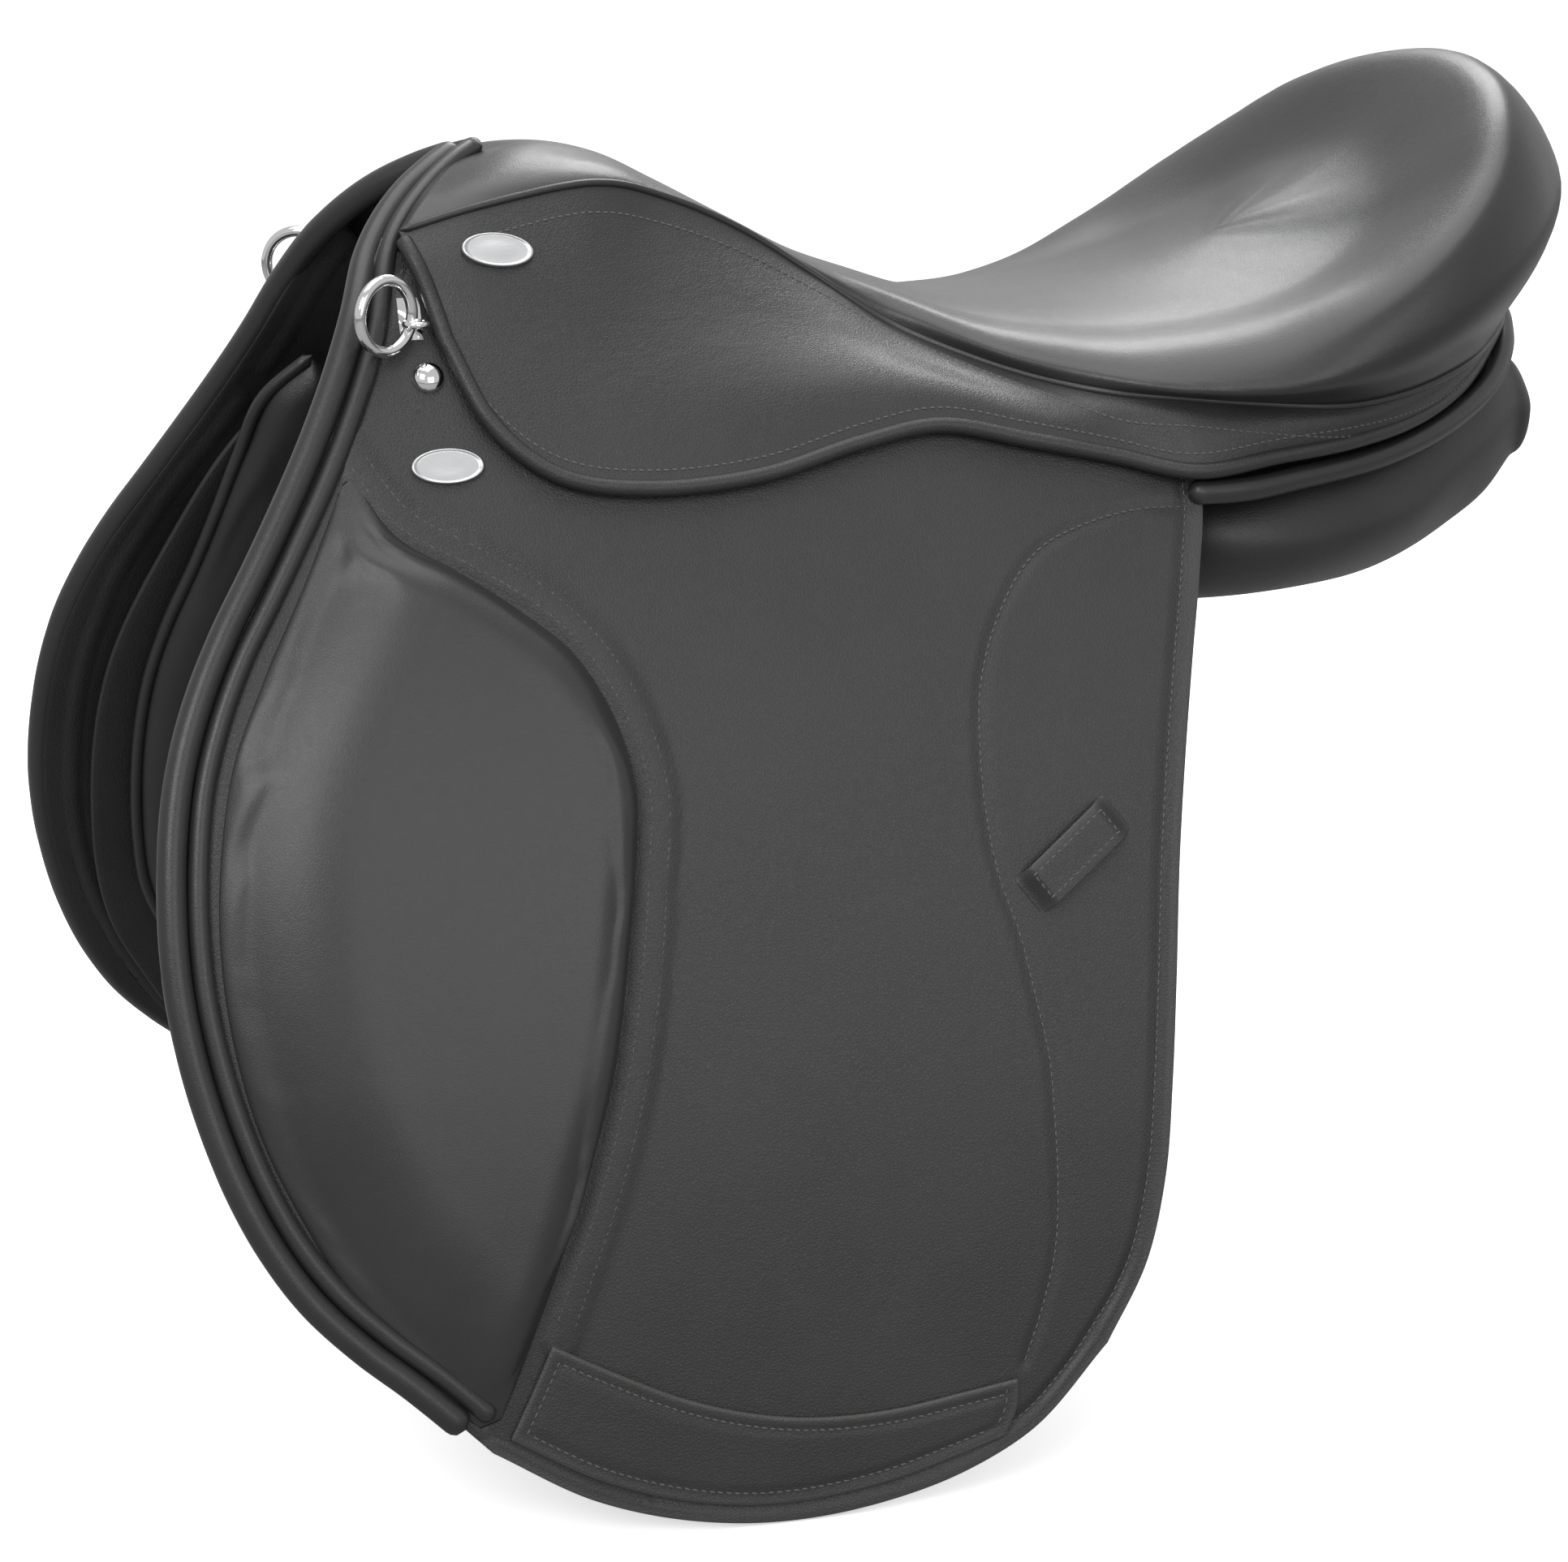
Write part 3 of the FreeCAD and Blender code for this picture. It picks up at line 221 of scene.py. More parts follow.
def surface(name, grid, flip=False, wrap=False):
    """A mesh through a grid of points in millimetres, rows by columns. wrap joins the last column to the first."""
    rows, columns = grid.shape[:2]
    index = np.arange(rows * columns).reshape(rows, columns)
    if wrap:
        index = np.column_stack([index, index[:, :1]])
    quads = np.stack([index[:-1, :-1], index[:-1, 1:], index[1:, 1:], index[1:, :-1]], axis=-1).reshape(-1, 4)
    if flip:
        quads = quads[:, ::-1]
    mesh = bpy.data.meshes.new(name)
    mesh.from_pydata((grid.reshape(-1, 3) * MM).tolist(), [], quads.tolist())
    mesh.shade_smooth()
    piece = bpy.data.objects.new(name, mesh)
    bpy.context.scene.collection.objects.link(piece)
    return piece


def weld(piece, gap=0.00005):
    """Merges points that lie on each other and turns all faces outwards."""
    shape = bmesh.new()
    shape.from_mesh(piece.data)
    bmesh.ops.remove_doubles(shape, verts=shape.verts, dist=gap)
    bmesh.ops.dissolve_degenerate(shape, edges=shape.edges, dist=gap / 5)
    bmesh.ops.recalc_face_normals(shape, faces=shape.faces)
    shape.to_mesh(piece.data)
    shape.free()
    piece.data.shade_smooth()
    return piece


def mark(piece, name, values):
    """Keeps one number per point of the mesh, for its finish to read."""
    layer = piece.data.attributes.new(name, "FLOAT", "POINT")
    layer.data.foreach_set("value", np.ascontiguousarray(values, dtype=np.float32).ravel())


def thick(piece, wall, rim=0.0):
    """Gives a sheet its wall, inwards, and rounds its cut edges."""
    solid = piece.modifiers.new("wall", "SOLIDIFY")
    solid.thickness = wall * MM
    solid.offset = -1
    solid.use_even_offset = False
    if rim:
        bevel = piece.modifiers.new("rim", "BEVEL")
        bevel.width = rim * MM
        bevel.segments = 2
        bevel.limit_method = "ANGLE"
        bevel.angle_limit = math.radians(50)
        bevel.harden_normals = False


def leather(name, tone, rough, grain=1.0, cell=1.1, crease=0.0, coat=0.12):
    """Black leather: cells of grain and pores on its height, slow clouds on its tone and gloss,
    paler and shinier where the attribute worn is high, and long shallow creases where the attribute crease is high."""
    material, start, shader = finish(name, coat_roughness=0.22, specular_ior_level=0.45)
    place = start.node("TexCoord", output=3)
    cloud = start.node("TexNoise", {}, {"Vector": place, "Scale": 22.0, "Detail": 5.0, "Roughness": 0.55})
    mottle = start.node("TexNoise", {}, {"Vector": place, "Scale": 260.0, "Detail": 3.0})
    bend = start.node("VectorMath", {"operation": "SCALE"}, {0: mottle.node(
        "TexNoise", {}, {"Vector": place, "Scale": 420.0, "Detail": 2.0}, 1), "Scale": 0.0012})
    warped = start.node("VectorMath", {"operation": "ADD"}, {0: place, 1: bend})
    cells = start.node("TexVoronoi", {"feature": "DISTANCE_TO_EDGE"}, {"Vector": warped, "Scale": 1000.0 / cell})
    groove = cells.ramp((0.0, 0.0), (0.22, 1.0))
    pores = start.node("TexVoronoi", {}, {"Vector": warped, "Scale": 1000.0 / cell * 2.3})
    worn = start.node("Attribute", {"attribute_name": "worn"}, output=2)
    folds = start.node("Attribute", {"attribute_name": "crease"}, output=2)
    drawn = start.node("Mapping", {}, {"Vector": place, "Rotation": (0.0, 0.5, 0.0), "Scale": (1.0, 0.6, 3.6)})
    lines = start.node("TexNoise", {}, {"Vector": drawn, "Scale": 70.0, "Detail": 4.0, "Distortion": 0.6})
    dark = tuple(c * 0.72 for c in tone[:3]) + (1,)
    pale = tuple(c * 1.5 for c in tone[:3]) + (1,)
    toned = start.node("Mix", {"data_type": "RGBA"}, {"Factor": cloud, 6: dark, 7: pale}, 2)
    edge = start.node("Mix", {"data_type": "RGBA"}, {"Factor": worn * 0.6, 6: toned, 7: grey(0.07, 0.03)}, 2)
    start.feed(shader.inputs["Base Color"], edge)
    start.feed(shader.inputs["Roughness"], cloud * 0.12 + mottle * 0.06 + rough - 0.09 - worn * 0.06)
    start.feed(shader.inputs["Coat Weight"], coat - cloud * (coat * 0.5))
    height = groove * 0.5 + pores * 0.25 + mottle * 0.5
    fine = start.node("Bump", {}, {"Height": height, "Strength": 0.5 * grain, "Distance": 0.0003})
    broad = cloud * 0.6 + lines * (folds * crease)
    bump = start.node("Bump", {}, {"Height": broad, "Strength": 0.5, "Distance": 0.0012, "Normal": fine})
    start.feed(shader.inputs["Normal"], bump)
    return material


def ready(piece, material, body, slot, *replaced):
    """Finish, stand-in and body of a piece. slot is not used."""
    piece.data.materials.append(material)
    if replaced:
        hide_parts(*replaced)
    if body:
        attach(piece, body)
    return piece


# Columns of the near half of the seat, from the pommel's front edge round to the middle of the cantle:
# point on the centre line, rim, fullest point outside the rim, main seam.
SEAT_COLUMNS = np.array([
    [(-123, 0, 162), (-141, -22, 157), (-153, -36, 149), (-161, -44, 141)],
    [(-100, 0, 166), (-116, -29, 161), (-124, -40, 155), (-130, -45, 149)],
    [(-76, 0, 161.5), (-82, -30, 159), (-86, -38, 156), (-88, -40, 154.5)],
    [(-54, 0, 151), (-56, -28, 149), (-57, -32, 148), (-58, -33, 147.5)],
    [(-28, 0, 137), (-28, -27, 135.5), (-28, -30.5, 134.5), (-28, -31, 134)],
    [(0, 0, 122.5), (0, -28, 120), (0, -33, 118), (0, -34, 116)],
    [(26, 0, 113), (28, -40, 106.5), (28, -45, 102), (28, -46, 97)],
    [(52, 0, 104.5), (58, -72, 93), (59, -77, 89), (60, -76, 84)],
    [(76, 0, 100.5), (87, -99, 87), (88, -104, 83), (86, -101, 78.5)],
    [(100, 0, 100), (118, -118, 84.5), (118, -122, 80), (113, -112, 76)],
    [(124, 0, 103), (153, -132, 90), (153, -136, 83), (145, -119, 73)],
    [(146, 0, 108), (187, -136, 105), (189, -139, 93), (177, -122, 71)],
    [(162, 0, 113), (218, -130, 127), (222, -135, 109), (208, -114, 73)],
    [(173, 0, 117), (243, -114, 148), (251, -120, 124), (238, -99, 78)],
    [(180, 0, 120), (262, -88, 168), (277, -95, 138), (261, -78, 82)],
    [(184, 0, 122), (276, -50, 182), (300, -58, 146), (285, -48, 88)],
    [(186, 0, 123), (282, 0, 188), (314, 0, 130), (305, 0, 92)],
], dtype=float)
SEAT_DISH = [0.3, 0.28, 0.25, 0.25, 0.25, 0.28, 0.34, 0.3, 0.24, 0.2, 0.2, 0.25, 0.3, 0.34, 0.38, 0.4, 0.42]
PER_COLUMN = 9
PER_SECTION = 44


def seat_half():
    """Near half of the seat: each column is a Hermite curve from the centre line, leaving it level across the
    seat, through a dish point, the rim and the fullest point to the seam; columns are joined the same way."""
    last = len(SEAT_COLUMNS) - 1
    at = np.linspace(0, last, PER_COLUMN * last + 1)
    round_cantle = np.concatenate([SEAT_COLUMNS, SEAT_COLUMNS[-2:-4:-1] * (1, -1, 1)])
    columns = smooth(np.arange(last + 3), round_cantle, at)
    dish = smooth(np.arange(last + 3), np.array(SEAT_DISH + SEAT_DISH[-2:-4:-1]), at)
    spine = columns[:, 0]
    slope = np.gradient(spine[:, 2], spine[:, 0])
    rows = []
    for column, share, rise in zip(columns, dish, slope):
        start, rim = column[0], column[1]
        inner = start + (rim - start) * 0.55
        inner[2] = start[2] + (rim[2] - start[2]) * share
        points = np.vstack([start, inner, column[1:]])
        way = inner - start
        knots = lengths(points)
        first = np.array([way[0], way[1], way[0] * rise]) / knots[1]
        rows.append(smooth(knots, points, np.linspace(0, 1, PER_SECTION) ** 0.85 * knots[-1], first))
    return np.array(rows)


near_seat = seat_half()
far_seat = near_seat[::-1] * (1, -1, 1)
seat = weld(surface("seat", np.concatenate([near_seat, far_seat[1:]])))
SEAM = near_seat[:, -1]
thick(seat, 2.0)
seat_leather = leather("seat_hide", grey(0.021), 0.36, grain=0.45, cell=0.9, coat=0.2)
ready(seat, seat_leather, "saddle", "seat_leather", "seat_cover", "seat_foam")


def tube(name, path, radius, sides=14, squash=1.0, normals=None):
    """A round cord along a path with closed tapered ends; squash flattens it along the normals."""
    path = np.asarray(path, float)
    run = np.gradient(path, axis=0)
    run /= np.linalg.norm(run, axis=1)[:, None]
    up = np.broadcast_to((0.0, 0.0, 1.0), path.shape) if normals is None else normals
    side = np.cross(run, up)
    side /= np.linalg.norm(side, axis=1)[:, None]
    up = np.cross(side, run)
    turn = np.linspace(0, 2 * np.pi, sides, endpoint=False)
    size = np.broadcast_to(radius, len(path)).astype(float).copy()
    walked = lengths(path)
    for ends in (walked, walked[-1] - walked):
        near = ends < size
        size[near] *= np.sqrt(np.clip(1 - (1 - ends[near] / size[near]) ** 2, 0.0004, 1))
    ring = side[:, None] * np.cos(turn)[:, None] + up[:, None] * np.sin(turn)[:, None] * squash
    return weld(surface(name, path[:, None] + ring * size[:, None, None], wrap=True), 0.00001)


welt_path = np.concatenate([SEAM, (SEAM * (1, -1, 1))[-2::-1]])
welt = tube("seat_welt", through(welt_path[::3], 420), 1.5, sides=8)
ready(welt, seat_leather, "saddle", "seat_leather")


# --- Skirts -------------------------------------------------------------------------------------------------------
# One hide each side, sewn to the seat at the main seam. Its front hangs free over the stirrup bar and folds up along
# a slanting line; its rear runs on to the cantle. The lower edge is turned over a cord and stitched.

YAW = math.radians(5.7)
SPLAY = math.radians(27.1)
CURVE = 1085.0
ALONG = np.array([math.cos(YAW), -math.sin(YAW), 0.0])
OUTWARD = np.array([-math.sin(YAW), -math.cos(YAW), 0.0])
UP = np.array([0.0, 0.0, 1.0])
AXIS = np.array([
    CURVE * math.cos(SPLAY) * math.sin(YAW),
    CURVE * math.cos(SPLAY) * math.cos(YAW) - 110.7,
    42 - CURVE * math.sin(SPLAY),
])


def lay_normal(flat):
    """Outward direction of the near hanging leathers at x and z: level outwards, tilted up by height over radius."""
    sine = ((np.asarray(flat, float)[..., 1] - AXIS[2]) / CURVE)[..., None]
    return OUTWARD * np.sqrt(1 - sine**2) + UP * sine


def lay(flat, off=0.0):
    """Points of the near hanging leathers from x and z: on a drum's axis, plus its radius along the outward
    direction, plus off along the same direction."""
    flat = np.asarray(flat, float)
    rise = flat[..., 1] - AXIS[2]
    level = np.sqrt(CURVE**2 - rise**2)
    along = (flat[..., 0] - AXIS[0] - OUTWARD[0] * level) / ALONG[0]
    face = AXIS + along[..., None] * ALONG + level[..., None] * OUTWARD + rise[..., None] * UP
    return face + lay_normal(flat) * np.asarray(off, float)[..., None]


def grid_normals(grid):
    """Unit normals of a grid, pointing out on the near side."""
    down, back = np.gradient(grid, axis=0), np.gradient(grid, axis=1)
    normal = np.cross(down, back)
    return normal / np.linalg.norm(normal, axis=2)[..., None]


def row_at(grid, distance):
    """The row that lies at a distance up from the last row, measured along each column, with its normals."""
    normals = grid_normals(grid)
    points, ways = [], []
    for column in range(grid.shape[1]):
        walked = lengths(grid[::-1, column])
        points.append([np.interp(distance, walked, grid[::-1, column, axis]) for axis in range(3)])
        ways.append([np.interp(distance, walked, normals[::-1, column, axis]) for axis in range(3)])
    return np.array(points), np.array(ways)


def mirrored(points, side):
    """Near-side points, or their mirror image on the far side."""
    return points * (1, -side, 1)


def stitches(name, rows, side, pitch=3.0, length=2.15, wide=0.42, high=0.34, seed=1):
    """Threads lying on the leather: each is a short five-sided spindle, half sunk, turned a little to its line.
    rows holds pairs of a path and its normals; a spindle sits at every pitch along each path."""
    random = np.random.default_rng(seed)
    share = np.array([-1.0, -0.72, 0.0, 0.72, 1.0])
    swell = np.array([0.2, 0.82, 1.0, 0.82, 0.2])
    turn = np.linspace(0, 2 * np.pi, 5, endpoint=False) + 0.3
    places, runs, ups = [], [], []
    for path, normals in rows:
        walked = lengths(path)
        count = max(int(walked[-1] / pitch), 1)
        at = (np.arange(count) + 0.5) * walked[-1] / count
        spot = np.column_stack([np.interp(at, walked, path[:, axis]) for axis in range(3)])
        up = np.column_stack([np.interp(at, walked, normals[:, axis]) for axis in range(3)])
        run = np.column_stack([np.interp(at, walked, np.gradient(path[:, axis], walked)) for axis in range(3)])
        places.append(spot)
        runs.append(run / np.linalg.norm(run, axis=1)[:, None])
        ups.append(up / np.linalg.norm(up, axis=1)[:, None])
    spot, run, up = np.concatenate(places), np.concatenate(runs), np.concatenate(ups)
    across = np.cross(run, up)
    slant = np.radians(7 + 3 * random.standard_normal(len(spot)))[:, None]
    run, across = run * np.cos(slant) + across * np.sin(slant), across * np.cos(slant) - run * np.sin(slant)
    ring = (
        run[:, None, None] * (share * length / 2)[None, :, None, None]
        + across[:, None, None] * (swell[:, None] * np.cos(turn) * wide)[None, ..., None]
        + up[:, None, None] * (swell[:, None] * np.sin(turn) * high)[None, ..., None]
    )
    points = mirrored(spot[:, None, None] + ring, side).reshape(-1, 3)
    index = np.arange(25).reshape(5, 5)
    walls = np.stack([index[:-1], np.roll(index, -1, 1)[:-1], np.roll(index, -1, 1)[1:], index[1:]], -1).reshape(-1, 4)
    if side < 0:
        walls = walls[:, ::-1]
    caps = [list(index[0]), list(index[4][::-1])] if side < 0 else [list(index[0][::-1]), list(index[4])]
    quads = (np.arange(len(spot))[:, None, None] * 25 + walls[None]).reshape(-1, 4).tolist()
    faces = quads + [[25 * n + corner for corner in cap] for n in range(len(spot)) for cap in caps]
    mesh = bpy.data.meshes.new(name)
    mesh.from_pydata((points * MM).tolist(), [], faces)
    mesh.shade_smooth()
    piece = bpy.data.objects.new(name, mesh)
    bpy.context.scene.collection.objects.link(piece)
    return piece


SKIRT_FACE = 5.4
SKIRT_COLUMN = np.arange(17.0)
SKIRT_HEM = np.array([
    *lay([(-150, 101), (-139, 74), (-118, 56), (-86, 50.5), (-46, 53), (-8, 62), (23, 66.5), (56, 60), (87, 53.5)],
         SKIRT_FACE),
    (115, -127.5, 50), (148, -126, 53), (180, -122, 56), (213, -108, 60), (243, -87, 66.5), (268, -62, 75),
    (291, -34, 85), (303, 0, 89),
])
HANGING = 9
SKIRT_ROWS = 64
thread = plain("black_thread", grey(0.075), 0.55, 3000.0, 0.5)
skirt_leather = leather("skirt_hide", grey(0.021), 0.42, grain=0.9, cell=1.2, crease=0.55)


def skirt_sheet():
    """Each column of the skirt runs from the seam over two points of the side to the hem, as one Hermite curve.
    The second of them lies on the drum of the hanging leathers, so the skirt comes down flat on the flap."""
    at = np.linspace(0, SKIRT_COLUMN[-1], 170)
    seam = smooth(np.arange(len(SEAM)) / PER_COLUMN, SEAM, at)
    hem = smooth(SKIRT_COLUMN, SKIRT_HEM, at)
    third = hem + (seam - hem) * np.array([0.25, 0.33, 0.33])
    third[:, 1] = hem[:, 1] + (seam[:, 1] - hem[:, 1]) * 0.22
    on_drum = lay(third[:, [0, 2]], SKIRT_FACE)
    hangs = np.clip(HANGING - at, 0, 1)[:, None]
    third = on_drum * hangs + (hem + (seam - hem) * 0.35 + np.array([0, -2.5, 0])) * (1 - hangs)
    second = third + (seam - third) * 0.5 + np.array([0.0, -1.5, 1.0])
    columns = []
    for points in np.stack([seam, second, third, hem], axis=1):
        columns.append(through(points, SKIRT_ROWS))
    return np.array(columns).transpose(1, 0, 2)


SKIRT = skirt_sheet()
hinge_front = lay(np.array([-153.0, 118.0]), SKIRT_FACE)
hinge_rear = lay(np.array([25.0, 66.0]), SKIRT_FACE)
hinge_middle = (hinge_front + hinge_rear) / 2
hinge_run = (hinge_rear - hinge_front) / np.linalg.norm(hinge_rear - hinge_front)
hinge_down = np.cross(hinge_run, lay_normal(np.array([-64.0, 92.0])))


def skirt_blend(piece, side, reach=9.0):
    """Works out two points either side of where the skirt folds up, and bakes the piece's placement into its mesh."""
    start = mirrored(hinge_middle - hinge_down * reach, side) * MM
    end = mirrored(hinge_middle + hinge_down * reach, side) * MM
    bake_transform(piece)


def edge_wear(grid, near):
    """1 at the hem of a sheet, falling to 0 at a distance near above it."""
    walked = np.cumsum(np.linalg.norm(np.diff(grid[::-1], axis=0), axis=2), axis=0)
    distance = np.vstack([np.zeros((1, grid.shape[1])), walked])[::-1]
    return np.clip(1 - distance / near, 0, 1)


for name, side in SIDES:
    sheet = SKIRT
    skirt = surface("skirt_" + name, mirrored(sheet, side), flip=side < 0)
    mark(skirt, "worn", edge_wear(sheet, 5.0))
    front = np.exp(-(((sheet[..., 0] + 70) / 70) ** 2)) * np.exp(-(((sheet[..., 2] - 95) / 38) ** 2))
    mark(skirt, "crease", front)
    thick(skirt, 3.6, 0.8)
    ready(skirt, skirt_leather, None, "black_leather", f"skirt_{name}", f"jockey_{name}")
    skirt_blend(skirt, side)
    hem_path, hem_normals = row_at(sheet, 1.6)
    front_run = sheet[:, 0]
    piping_path = np.vstack([front_run[3:-1:3], hem_path[1:]])
    piping_normals = np.vstack([grid_normals(sheet)[3:-1:3, 0], hem_normals[1:]])
    piping = tube(
        "skirt_piping_" + name,
        mirrored(through(piping_path + piping_normals * -0.4, 360), side),
        3.1,
        sides=12,
    )
    ready(piping, skirt_leather, None, "black_leather", f"skirt_roll_{name}")
    skirt_blend(piping, side)
    line_path, line_normals = row_at(sheet, 8.0)
    second_path, second_normals = row_at(sheet[::-1], 12.5)
    seams = stitches(
        "skirt_stitching_" + name,
        [(line_path, line_normals), (second_path[8:], -second_normals[8:])],
        side,
        seed=3,
    )
    ready(seams, thread, None, "black_leather")
    skirt_blend(seams, side)


# --- Flaps --------------------------------------------------------------------------------------------------------
# A large stiff hide each side that hangs from the tree, with a lining and a bound edge. It bends where it leaves the
# skirt, and carries the front rolls, the knee block, the sewn strip behind it, the bottom patch and the keeper.

def coons(top, bottom, left, right):
    """A grid inside four edges: the two ruled sheets between opposite edges, less the one through the corners."""
    u = np.linspace(0, 1, len(top))[None, :, None]
    v = np.linspace(0, 1, len(left))[:, None, None]
    ruled = (1 - v) * top[None] + v * bottom[None] + (1 - u) * left[:, None] + u * right[:, None]
    corners = (1 - v) * ((1 - u) * top[0] + u * top[-1]) + v * ((1 - u) * bottom[0] + u * bottom[-1])
    return ruled - corners


def distance(grid, line):
    """Distance of every point of a flat grid from a line of points."""
    start, run = line[:-1], np.diff(line, axis=0)
    away = grid.reshape(-1, 1, 2) - start
    share = np.clip((away * run).sum(2) / np.maximum((run**2).sum(1), 1e-9), 0, 1)
    return np.linalg.norm(away - share[..., None] * run, axis=2).min(1).reshape(grid.shape[:2])


def fall(value, near, far):
    """1 below near, 0 above far, smooth between."""
    share = np.clip((far - value) / (far - near), 0, 1)
    return share * share * (3 - 2 * share)


def shifted(line, amount):
    """A flat line moved sideways, to the left of its direction."""
    run = np.gradient(line, axis=0)
    run /= np.linalg.norm(run, axis=1)[:, None]
    return line + np.column_stack([-run[:, 1], run[:, 0]]) * amount


FLAP_FRONT = through([
    (-166, 138), (-170, 131), (-180, 114), (-191, 92), (-206, 66), (-227, 34), (-249, 0), (-263, -34), (-268, -60),
    (-270, -100), (-265, -135), (-255, -168), (-238, -200), (-217, -223), (-201, -237), (-178, -260),
], 180)
FLAP_BOTTOM = through([(-178, -260), (-143, -281), (-90, -295), (-40, -293), (-9, -285), (14, -274), (45, -245)], 170)
FLAP_REAR = through([
    (118, 60), (118, 42), (112, 16), (104, -13), (96, -45), (89, -78), (82, -122), (77, -155), (71, -189), (62, -217),
    (45, -245),
], 180)
FLAP_TOP = through([
    (-166, 138), (-148, 120), (-134, 90), (-115, 72), (-88, 67), (-44, 68), (-11, 75), (22, 79), (48, 75), (84, 66),
    (118, 60),
], 170)
STRIP = through([
    (-190, 71), (-174, 47), (-150, 33), (-129, 19), (-112, 0), (-102, -22), (-98, -46), (-102, -72), (-109, -108),
    (-118, -142), (-129, -173), (-141, -200), (-152, -224),
], 120)
CURVED_LINE = through([
    (113, 38), (94, 38), (72, 34), (54, 27), (32, 2), (23, -19), (20, -38), (19, -60), (21, -82), (26, -101),
    (29, -121), (32, -143), (32, -166), (31, -188), (28, -211), (22, -230), (14, -249),
], 140)
FRONT_LINE = through([
    (-160, 128), (-167, 117), (-179, 92), (-196, 64), (-224, 24), (-245, -16), (-255, -53), (-258, -80), (-257, -119),
    (-246, -162), (-223, -205), (-198, -235), (-181, -249),
], 160)
REAR_LINE = np.vstack([shifted(FLAP_REAR, -6.5)[:-8], shifted(FLAP_BOTTOM, 6.5)[-9:-130:-1]])
FLAP_WALL = 5.4
FOLD = 42.0


def relief(flat):
    """Height of the flap over its drum: the sewn strip stands up, and each stitched line is pressed in."""
    away = distance(flat, STRIP)
    strip = fall(away, 4.4, 6.8) * 1.5 - 0.4 * fall(np.abs(away - 3.0), 0.4, 2.6)
    groove = np.zeros(flat.shape[:2])
    for line in (CURVED_LINE, FRONT_LINE, REAR_LINE):
        groove = np.maximum(groove, fall(distance(flat, line), 0.3, 3.0))
    edge = np.minimum(distance(flat, FLAP_REAR), distance(flat, FLAP_BOTTOM))
    bound = fall(edge, 3.6, 5.2) * 0.5
    return 0.6 + strip - 0.9 * groove + bound


def flap_blend(piece, side, reach=11.0):
    """Works out two points either side of the flap's fold, and bakes the piece's placement into its mesh."""
    middle = lay(np.array([0.0, FOLD]))
    down = lay(np.array([0.0, FOLD - 10])) - middle
    down -= ALONG * down.dot(ALONG)
    down *= reach / np.linalg.norm(down)
    start, end = mirrored(middle - down, side) * MM, mirrored(middle + down, side) * MM
    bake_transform(piece)


def on_flap(line, off=0.6):
    """A flat line as a path on the flap, with its normals."""
    return lay(line, off), lay_normal(line)


flap_leather = leather("flap_hide", grey(0.022), 0.44, grain=1.0, cell=1.25, crease=0.25)
roll_leather = leather("roll_hide", grey(0.02), 0.36, grain=0.45, cell=0.9, coat=0.2)
FLAP_FLAT = coons(FLAP_TOP, FLAP_BOTTOM, FLAP_FRONT, FLAP_REAR)
FLAP_GRID = lay(FLAP_FLAT, relief(FLAP_FLAT))
for name, side in SIDES:
    flap = surface("flap_" + name, mirrored(FLAP_GRID, side), flip=side < 0)
    rim = np.minimum(distance(FLAP_FLAT, FLAP_REAR), distance(FLAP_FLAT, FLAP_BOTTOM))
    mark(flap, "worn", fall(rim, 0.5, 4.0))
    mark(flap, "crease", fall(np.abs(FLAP_FLAT[..., 1] - FOLD), 5.0, 40.0))
    thick(flap, FLAP_WALL, 1.1)
    ready(flap, flap_leather, None, "black_leather", f"flap_{name}")
    flap_blend(flap, side)
    strip_edges = [shifted(STRIP, 3.2)[2:-2], shifted(STRIP, -3.2)[2:-2]]
    rows = [on_flap(edge, 1.5) for edge in strip_edges]
    rows += [on_flap(line, -0.1) for line in (CURVED_LINE, FRONT_LINE)] + [on_flap(REAR_LINE, 0.0)]
    seams = stitches("flap_stitching_" + name, rows, side, seed=5)
    ready(seams, thread, None, "black_leather")
    flap_blend(seams, side)


# --- Front rolls and pommel roll ----------------------------------------------------------------------------------
# Leather turned over two soft cords. The outer roll runs from the bottom of one flap up over the pommel and down the
# other side; the thinner one lies just behind it.

outer_flat = shifted(FLAP_FRONT, 0.4)
outer_low = lay(outer_flat[outer_flat[:, 1] < 112][::9], 1.2)
outer_route = np.vstack([[(-127, 3, 163.2), (-139, -7, 158), (-152, -17, 150.5), (-169, -34, 134)], outer_low])
second_flat = shifted(FLAP_FRONT, 9.2)
second_low = lay(second_flat[second_flat[:, 1] < 104][::9], 1.0)
second_route = np.vstack([[(-118.5, 3, 165.2), (-131, -8, 160.5), (-144, -19, 153), (-161, -36, 138)], second_low])
for name, side in SIDES:
    for label, route, radius, replaced in (
        ("outer", outer_route, 5.2, (f"front_rolls_{name}",)),
        ("inner", second_route, 3.8, ()),
    ):
        path = through(route, 300)
        roll = tube(f"front_roll_{label}_{name}", mirrored(path, side), radius, sides=18)
        ready(roll, roll_leather, None, "black_leather", *replaced)
        if label == "outer" and side < 0:
            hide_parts("pommel_roll")
        flap_blend(roll, side)


# --- Knee blocks --------------------------------------------------------------------------------------------------
# A soft foam block under thin calf leather, sewn in front of the strip. It rises slowly from the front rolls and
# drops steeply at the back, where its cover is tucked into the seam.

def pad(name, outline, outer, inner, side):
    """A closed pad on the drum: an outer and an inner sheet at two heights over the same flat grid, which meet at
    its border."""
    skins = np.stack([lay(outline, outer), lay(outline, inner)])
    front = surface(name, mirrored(skins[0], side), flip=side < 0)
    back = surface(name + "_back", mirrored(skins[1], side), flip=side > 0)
    with bpy.context.temp_override(active_object=front, selected_editable_objects=[front, back]):
        bpy.ops.object.join()
    return weld(front, 0.0001)


